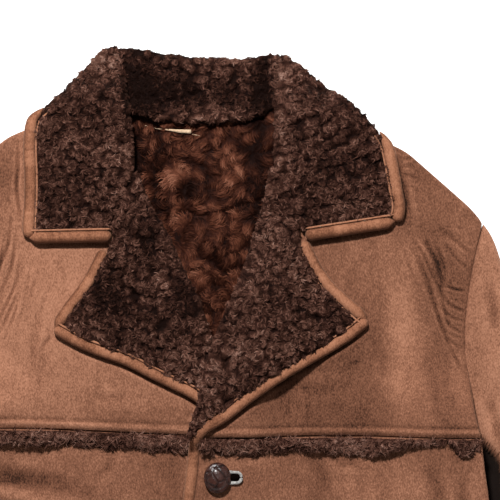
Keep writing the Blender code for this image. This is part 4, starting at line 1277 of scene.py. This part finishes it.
def cuff_binding(name, side):
    ix, iy, ox, oy, _, height = SLEEVE[-1]
    out = np.array([oy - iy, ix - ox])
    out = out / np.linalg.norm(out) * (BINDING_OFFSET + 0.4)
    path = []
    for t, z in ([(t, height - 4.5) for t in np.linspace(0.03, 0.97, 60)]
                 + [(t, 4.5) for t in np.linspace(0.97, 0.03, 60)]):
        x, y = np.array([ix, iy]) * (1 - t) + np.array([ox, oy]) * t + out
        plan = laid(np.array([side * x, y]))
        path.append((plan[0], plan[1], z))
    path.append(path[0])
    points, faces, shade = sweep_parts(along(path, np.linspace(0, 1, 190)), BINDING_RADIUS - 0.2,
                                       seed=3, pucker=0.05)
    return piece(name + "_roll", points, faces, [BINDING], "binding", shade, replaces=name)


pieces["binding_collar_right"] = collar_binding("binding_collar_right", LEAF_RIGHT, 1)
pieces["binding_collar_left"] = collar_binding("binding_collar_left", LEAF_LEFT, -1)
pieces["binding_lapel_left"] = lapel_binding("binding_lapel_left", LAPEL_LEFT, 1, slice(1, 13), -1.8)
pieces["binding_lapel_right"] = lapel_binding("binding_lapel_right", LAPEL_RIGHT, -1, slice(0, 12), -0.2,
                                              sink=3.2, last_lip=False)
for side_name, sign in SIDES:
    plan = front_plan(sign, 12.0)
    name = "binding_front_" + side_name
    form = Form(name, 2.0, 4.0)
    path = beside(plan[:, 0], -sign * BINDING_OFFSET)
    heights = None
    if sign > 0:
        path = np.vstack([path[path[:, 1] < 66.0], FRONT_TO_LAPEL])
        heights = front_heights(form, Form("binding_lapel_left", 1.5, 4.0))
    tone = -0.6 if sign > 0 else 0.0
    pieces[name] = rolled(name, [path], form, 1.5, heights=heights, tones=((tone / 3, tone),))
    name = "binding_hem_" + side_name
    pieces[name] = rolled(name, [beside(plan[0, 3:], sign * BINDING_OFFSET)], Form(name, 2.0, 4.0), 2.5)
    name = "binding_cuff_" + side_name
    pieces[name] = cuff_binding(name, sign)
name = "binding_hem_back"
pieces[name] = rolled(name, [beside(back_plan(14.0)[0], BINDING_OFFSET)], Form(name, 2.0, 4.0), 3.0)


# ---------------------------------------------------------------- wool under the yokes' raw edges

# How far the curls hang out along each yoke's edge. Columns: x, share of the trim's width.
HANG_LEFT = np.array([(-14.0, 0.9), (20.0, 0.95), (62.0, 0.85), (78.0, 0.6), (110.0, 0.85), (150.0, 1.0),
                      (166.0, 0.8), (180.0, 0.42), (196.0, 0.14), (216.0, 0.10), (224.0, 0.8), (240.0, 1.0)])
HANG_RIGHT = np.array([(-246.0, 0.8), (-200.0, 0.95), (-150.0, 0.8), (-100.0, 0.9), (-60.0, 1.0),
                       (-20.0, 1.1), (30.0, 1.1)])


def trim(name, front_surface, hanging):
    """Curls that hang out under a yoke's edge, uneven and with a thin stretch."""
    seam = along(front_surface[-1, 2:-2, :2], np.linspace(0, 1, 170))
    share = np.linspace(0, 1, 10)
    level = 0 * seam[:, 0]
    uneven = 1 + 0.22 * drift(seam[:, 0], level, 11.0, 82) + 0.12 * drift(seam[:, 0], level, 4.0, 84)
    hang = (TRIM_WIDTH - 0.5) * at(hanging, seam[:, 0]) * uneven
    x = seam[:, 0][None] + 0 * share[:, None]
    y = seam[:, 1][None] - 0.6 - hang[None] * (1 - share[:, None])
    form = Form(name, 2.0, 4.0)
    full = np.clip(hang / 8.0, 0.15, 1.0)[None]
    top = form.low(x, y) + (0.5 + 3.6 * np.sin(np.pi * (0.08 + 0.7 * share[:, None]))) * full
    surface, tops = woolly(np.dstack([x, y, top]), TRIM_CLUMP, 1.3, 91)
    surface[0, :, 2] = form.low(x[0], y[0]) - 0.5
    faces = grid_faces(numbered(*surface.shape[:2]))
    # Painted shade and light: darker between the clumps, lighter on their tops.
    base = (surface.reshape(-1, 3), faces, (0.14 + 0.35 * tops).ravel())
    locks = fleece_parts(surface, 1.1, 4.6, 1.8, 0.8, TRIM_CLUMP, 91, combed=(0.0, -1.4), edge=0.0)
    hairs = fleece_parts(surface, 0.9, 7.0, 2.2, 0.38, TRIM_CLUMP, 93, combed=(0.15, -1.1), edge=0.0)
    points, faces, shades = join([base, (*locks[:2], locks[2] + 0.1), (*hairs[:2], hairs[2] + 0.16)])
    return piece(name + "_wool", points, faces, [WOOL], "wool", shades, replaces=name)


pieces["yoke_trim_left"] = trim("yoke_trim_left", surfaces["front_lower_left"], HANG_LEFT)
pieces["yoke_trim_right"] = trim("yoke_trim_right", surfaces["front_lower_right"], HANG_RIGHT)


# ---------------------------------------------------------------- buttons, holes and the label

def lathe(profile, sides, centre, radii):
    """A turned shape: profile of (radius fraction, height) from the bottom's middle to the top's."""
    turn = np.arange(sides) * math.tau / sides
    rows = [np.stack([centre[0] + radii[0] * r * np.cos(turn), centre[1] + radii[1] * r * np.sin(turn),
                      np.full(sides, centre[2] + z)], axis=1) for r, z in profile]
    return np.vstack(rows), ring_faces(numbered(len(rows), sides))


def node_box(name):
    low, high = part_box(name)
    return np.array(low) / MM, np.array(high) / MM


BUTTON_PROFILE = [(0.01, 0.0), (0.80, 0.0), (0.93, 0.5), (0.99, 1.6), (1.0, 2.6), (0.985, 3.5), (0.95, 4.3),
                  (0.90, 4.9), (0.85, 5.2), (0.81, 5.3), (0.77, 5.6), (0.70, 6.5), (0.58, 7.5),
                  (0.42, 8.3), (0.22, 8.8), (0.01, 9.0)]
HOLE_STRAIGHT = 7.6             # half of the straight run between a buttonhole's ends
for number in NUMBERS:
    low, high = node_box(f"button_{number}")
    centre = ((low[0] + high[0]) / 2 - ORIGIN[0], (low[1] + high[1]) / 2 - ORIGIN[1], low[2])
    points, faces = lathe(BUTTON_PROFILE, 48, centre, (12.2, 14.0))
    lean = 0.13 * (1 if number % 2 else -0.6)
    dome = (points[:, 0] - centre[0]) * lean * np.clip((points[:, 2] - low[2]) / 4, 0, 1)
    points[:, 2] = np.maximum(points[:, 2] - np.abs(dome) * 0.2 - dome * 0.5, low[2])
    pieces[f"button_{number}"] = piece(f"button_{number}_dome", points, faces, [BUTTON], "button")
    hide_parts(f"button_{number}")
    low, high = node_box(f"buttonhole_{number}")
    middle = (low + high) / 2
    middle[:2] -= ORIGIN
    turn = np.linspace(0, math.tau, 97)[:-1]
    straight = np.sign(np.cos(turn)) * HOLE_STRAIGHT * np.clip(np.abs(np.cos(turn)) * 3, 0, 1)
    ring = np.stack([middle[0] + straight + 4.4 * np.cos(turn), middle[1] + 4.9 * np.sin(turn),
                     np.full(96, low[2] + 0.6)], axis=1)
    ring = np.vstack([ring, ring[:1]])
    ring = along(ring, np.linspace(0, 1, 150))
    rim_points, rim_faces, _ = sweep_parts(ring, 1.5, 8, 5, 0.2, 0.75)
    pieces[f"buttonhole_{number}"] = piece(f"buttonhole_{number}_rim", rim_points, rim_faces,
                                           [HOLE_THREAD], "buttonhole")
    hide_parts(f"buttonhole_{number}")
    # Painted shade: a near-black plate under the rim stands in for the hole, which is not cut.
    floor_points, floor_faces = lathe([(0.01, 0.1), (1.0, 0.1), (1.0, 0.5), (0.01, 0.5)], 32,
                                      (middle[0], middle[1], low[2] - 0.2), (11.4, 4.2))
    pieces[f"slot_{number}"] = piece(f"buttonhole_{number}_dark", floor_points, floor_faces, [HOLE_DARK],
                                     "buttonhole")


def lining_height(x, y):
    """The top of the lining's pile near a place."""
    near = np.hypot(lining[..., 0] - x, lining[..., 1] - y) < 4.0
    return lining[..., 2][near].max()


# The stub of a cut-off label at the neck seam, and a loose thread beside it.
LABEL = np.array([(-38.0, 352.4, 1.2), (-30.0, 351.4, 2.0), (-25.0, 350.8, 2.9), (-14.6, 350.4, 3.5)])
LABEL_THICKNESS = 0.5
label_x = np.linspace(LABEL[0, 0], LABEL[-1, 0], 16)
label_y = at(LABEL, label_x)
label_wide = at(LABEL, label_x, 2)
label_z = max(lining_height(x, y) for x, y in LABEL[:, :2]) + 1.2 + 0.25 * np.sin(label_x / 4.0)
label_rows = [np.column_stack([label_x, label_y + up * label_wide / 2, label_z + out * LABEL_THICKNESS / 2])
              for up, out in ((-1, 1), (1, 1), (1, -1), (-1, -1))]
label_points = np.stack(label_rows, axis=1)
label_grid = np.arange(64).reshape(16, 4)
label_beyond = np.roll(label_grid, -1, axis=1)
label_faces = np.stack([label_grid[:-1], label_grid[1:], label_beyond[1:], label_beyond[:-1]], axis=-1)
label_faces = np.vstack([label_faces.reshape(-1, 4), label_grid[:1], label_grid[-1:, ::-1]])
pieces["label"] = piece("label_tape", label_points, label_faces, [TAPE], "label")
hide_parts("label_stub")

THREAD = [(-66.0, 358.0), (-53.0, 355.2), (-46.0, 353.2), (-37.0, 352.2), (-26.0, 349.6), (-14.0, 348.0),
          (-6.5, 346.6)]
thread_plan = through(THREAD, 1.0)
thread_z = lining_height(-25.0, 350.0) + 0.3 + 1.5 * drift(thread_plan[:, 0], 0 * thread_plan[:, 0], 9.0, 44)
points, faces, _ = sweep_parts(np.column_stack([thread_plan, thread_z]), 0.3, 6, 2, 0.1)
pieces["thread"] = piece("label_thread", points, faces, [TAPE], "label")

# ---------------------------------------------------------------- floor, light and camera

FLOOR = bpy.data.materials.new("floor")
FLOOR.use_nodes = True
inputs = FLOOR.node_tree.nodes["Principled BSDF"].inputs
inputs["Base Color"].default_value = (0.9, 0.9, 0.9, 1.0)
inputs["Roughness"].default_value = 0.9
inputs["Emission Color"].default_value = (1.0, 1.0, 1.0, 1.0)
inputs["Emission Strength"].default_value = 0.45
# A round floor, with a low pale wall far off.
FLOOR_RADIUS = 12.0
WALL_HEIGHT = 4.0
turns = np.arange(96) * math.tau / 96
rim = [(FLOOR_RADIUS * math.cos(t), FLOOR_RADIUS * math.sin(t), -0.0005) for t in turns]
wall = [(x, y, WALL_HEIGHT) for x, y, _ in rim]
wall_faces = [(k, (k + 1) % 96, 96 + (k + 1) % 96, 96 + k) for k in range(96)]
mesh = bpy.data.meshes.new("floor")
mesh.from_pydata(rim + wall, [], [tuple(range(96))] + wall_faces)
mesh.materials.append(FLOOR)
floor = bpy.data.objects.new("floor", mesh)
bpy.context.scene.collection.objects.link(floor)

world = bpy.data.worlds.new("studio")
world.use_nodes = True
world.node_tree.nodes["Background"].inputs["Color"].default_value = (1.0, 0.99, 0.98, 1.0)
world.node_tree.nodes["Background"].inputs["Strength"].default_value = 0.05
bpy.context.scene.world = world


def lamp(name, place, aim, size, power):
    light = bpy.data.lights.new(name, "AREA")
    light.size = size
    light.energy = power
    made = bpy.data.objects.new(name, light)
    made.location = place
    made.rotation_euler = (Vector(aim) - Vector(place)).to_track_quat("-Z", "Y").to_euler()
    bpy.context.scene.collection.objects.link(made)


lamp("key", (-0.35, 1.52, 2.12), (0.0, 0.2, 0.0), 0.24, 97.0)
lamp("fill", (0.9, 0.1, 2.2), (0.0, 0.1, 0.0), 1.2, 4.0)

VIEW_WIDTH = 0.45
CAMERA_HEIGHT = 2.0
COAT_HEIGHT = 0.025
lens = bpy.data.cameras.new("camera")
lens.sensor_width = 36.0
lens.lens = 36.0 * (CAMERA_HEIGHT - COAT_HEIGHT) / VIEW_WIDTH
camera = bpy.data.objects.new("camera", lens)
camera.location = (0.0387, 0.2446, CAMERA_HEIGHT)
bpy.context.scene.collection.objects.link(camera)
bpy.context.scene.camera = camera
bpy.context.scene.view_settings.view_transform = "Standard"
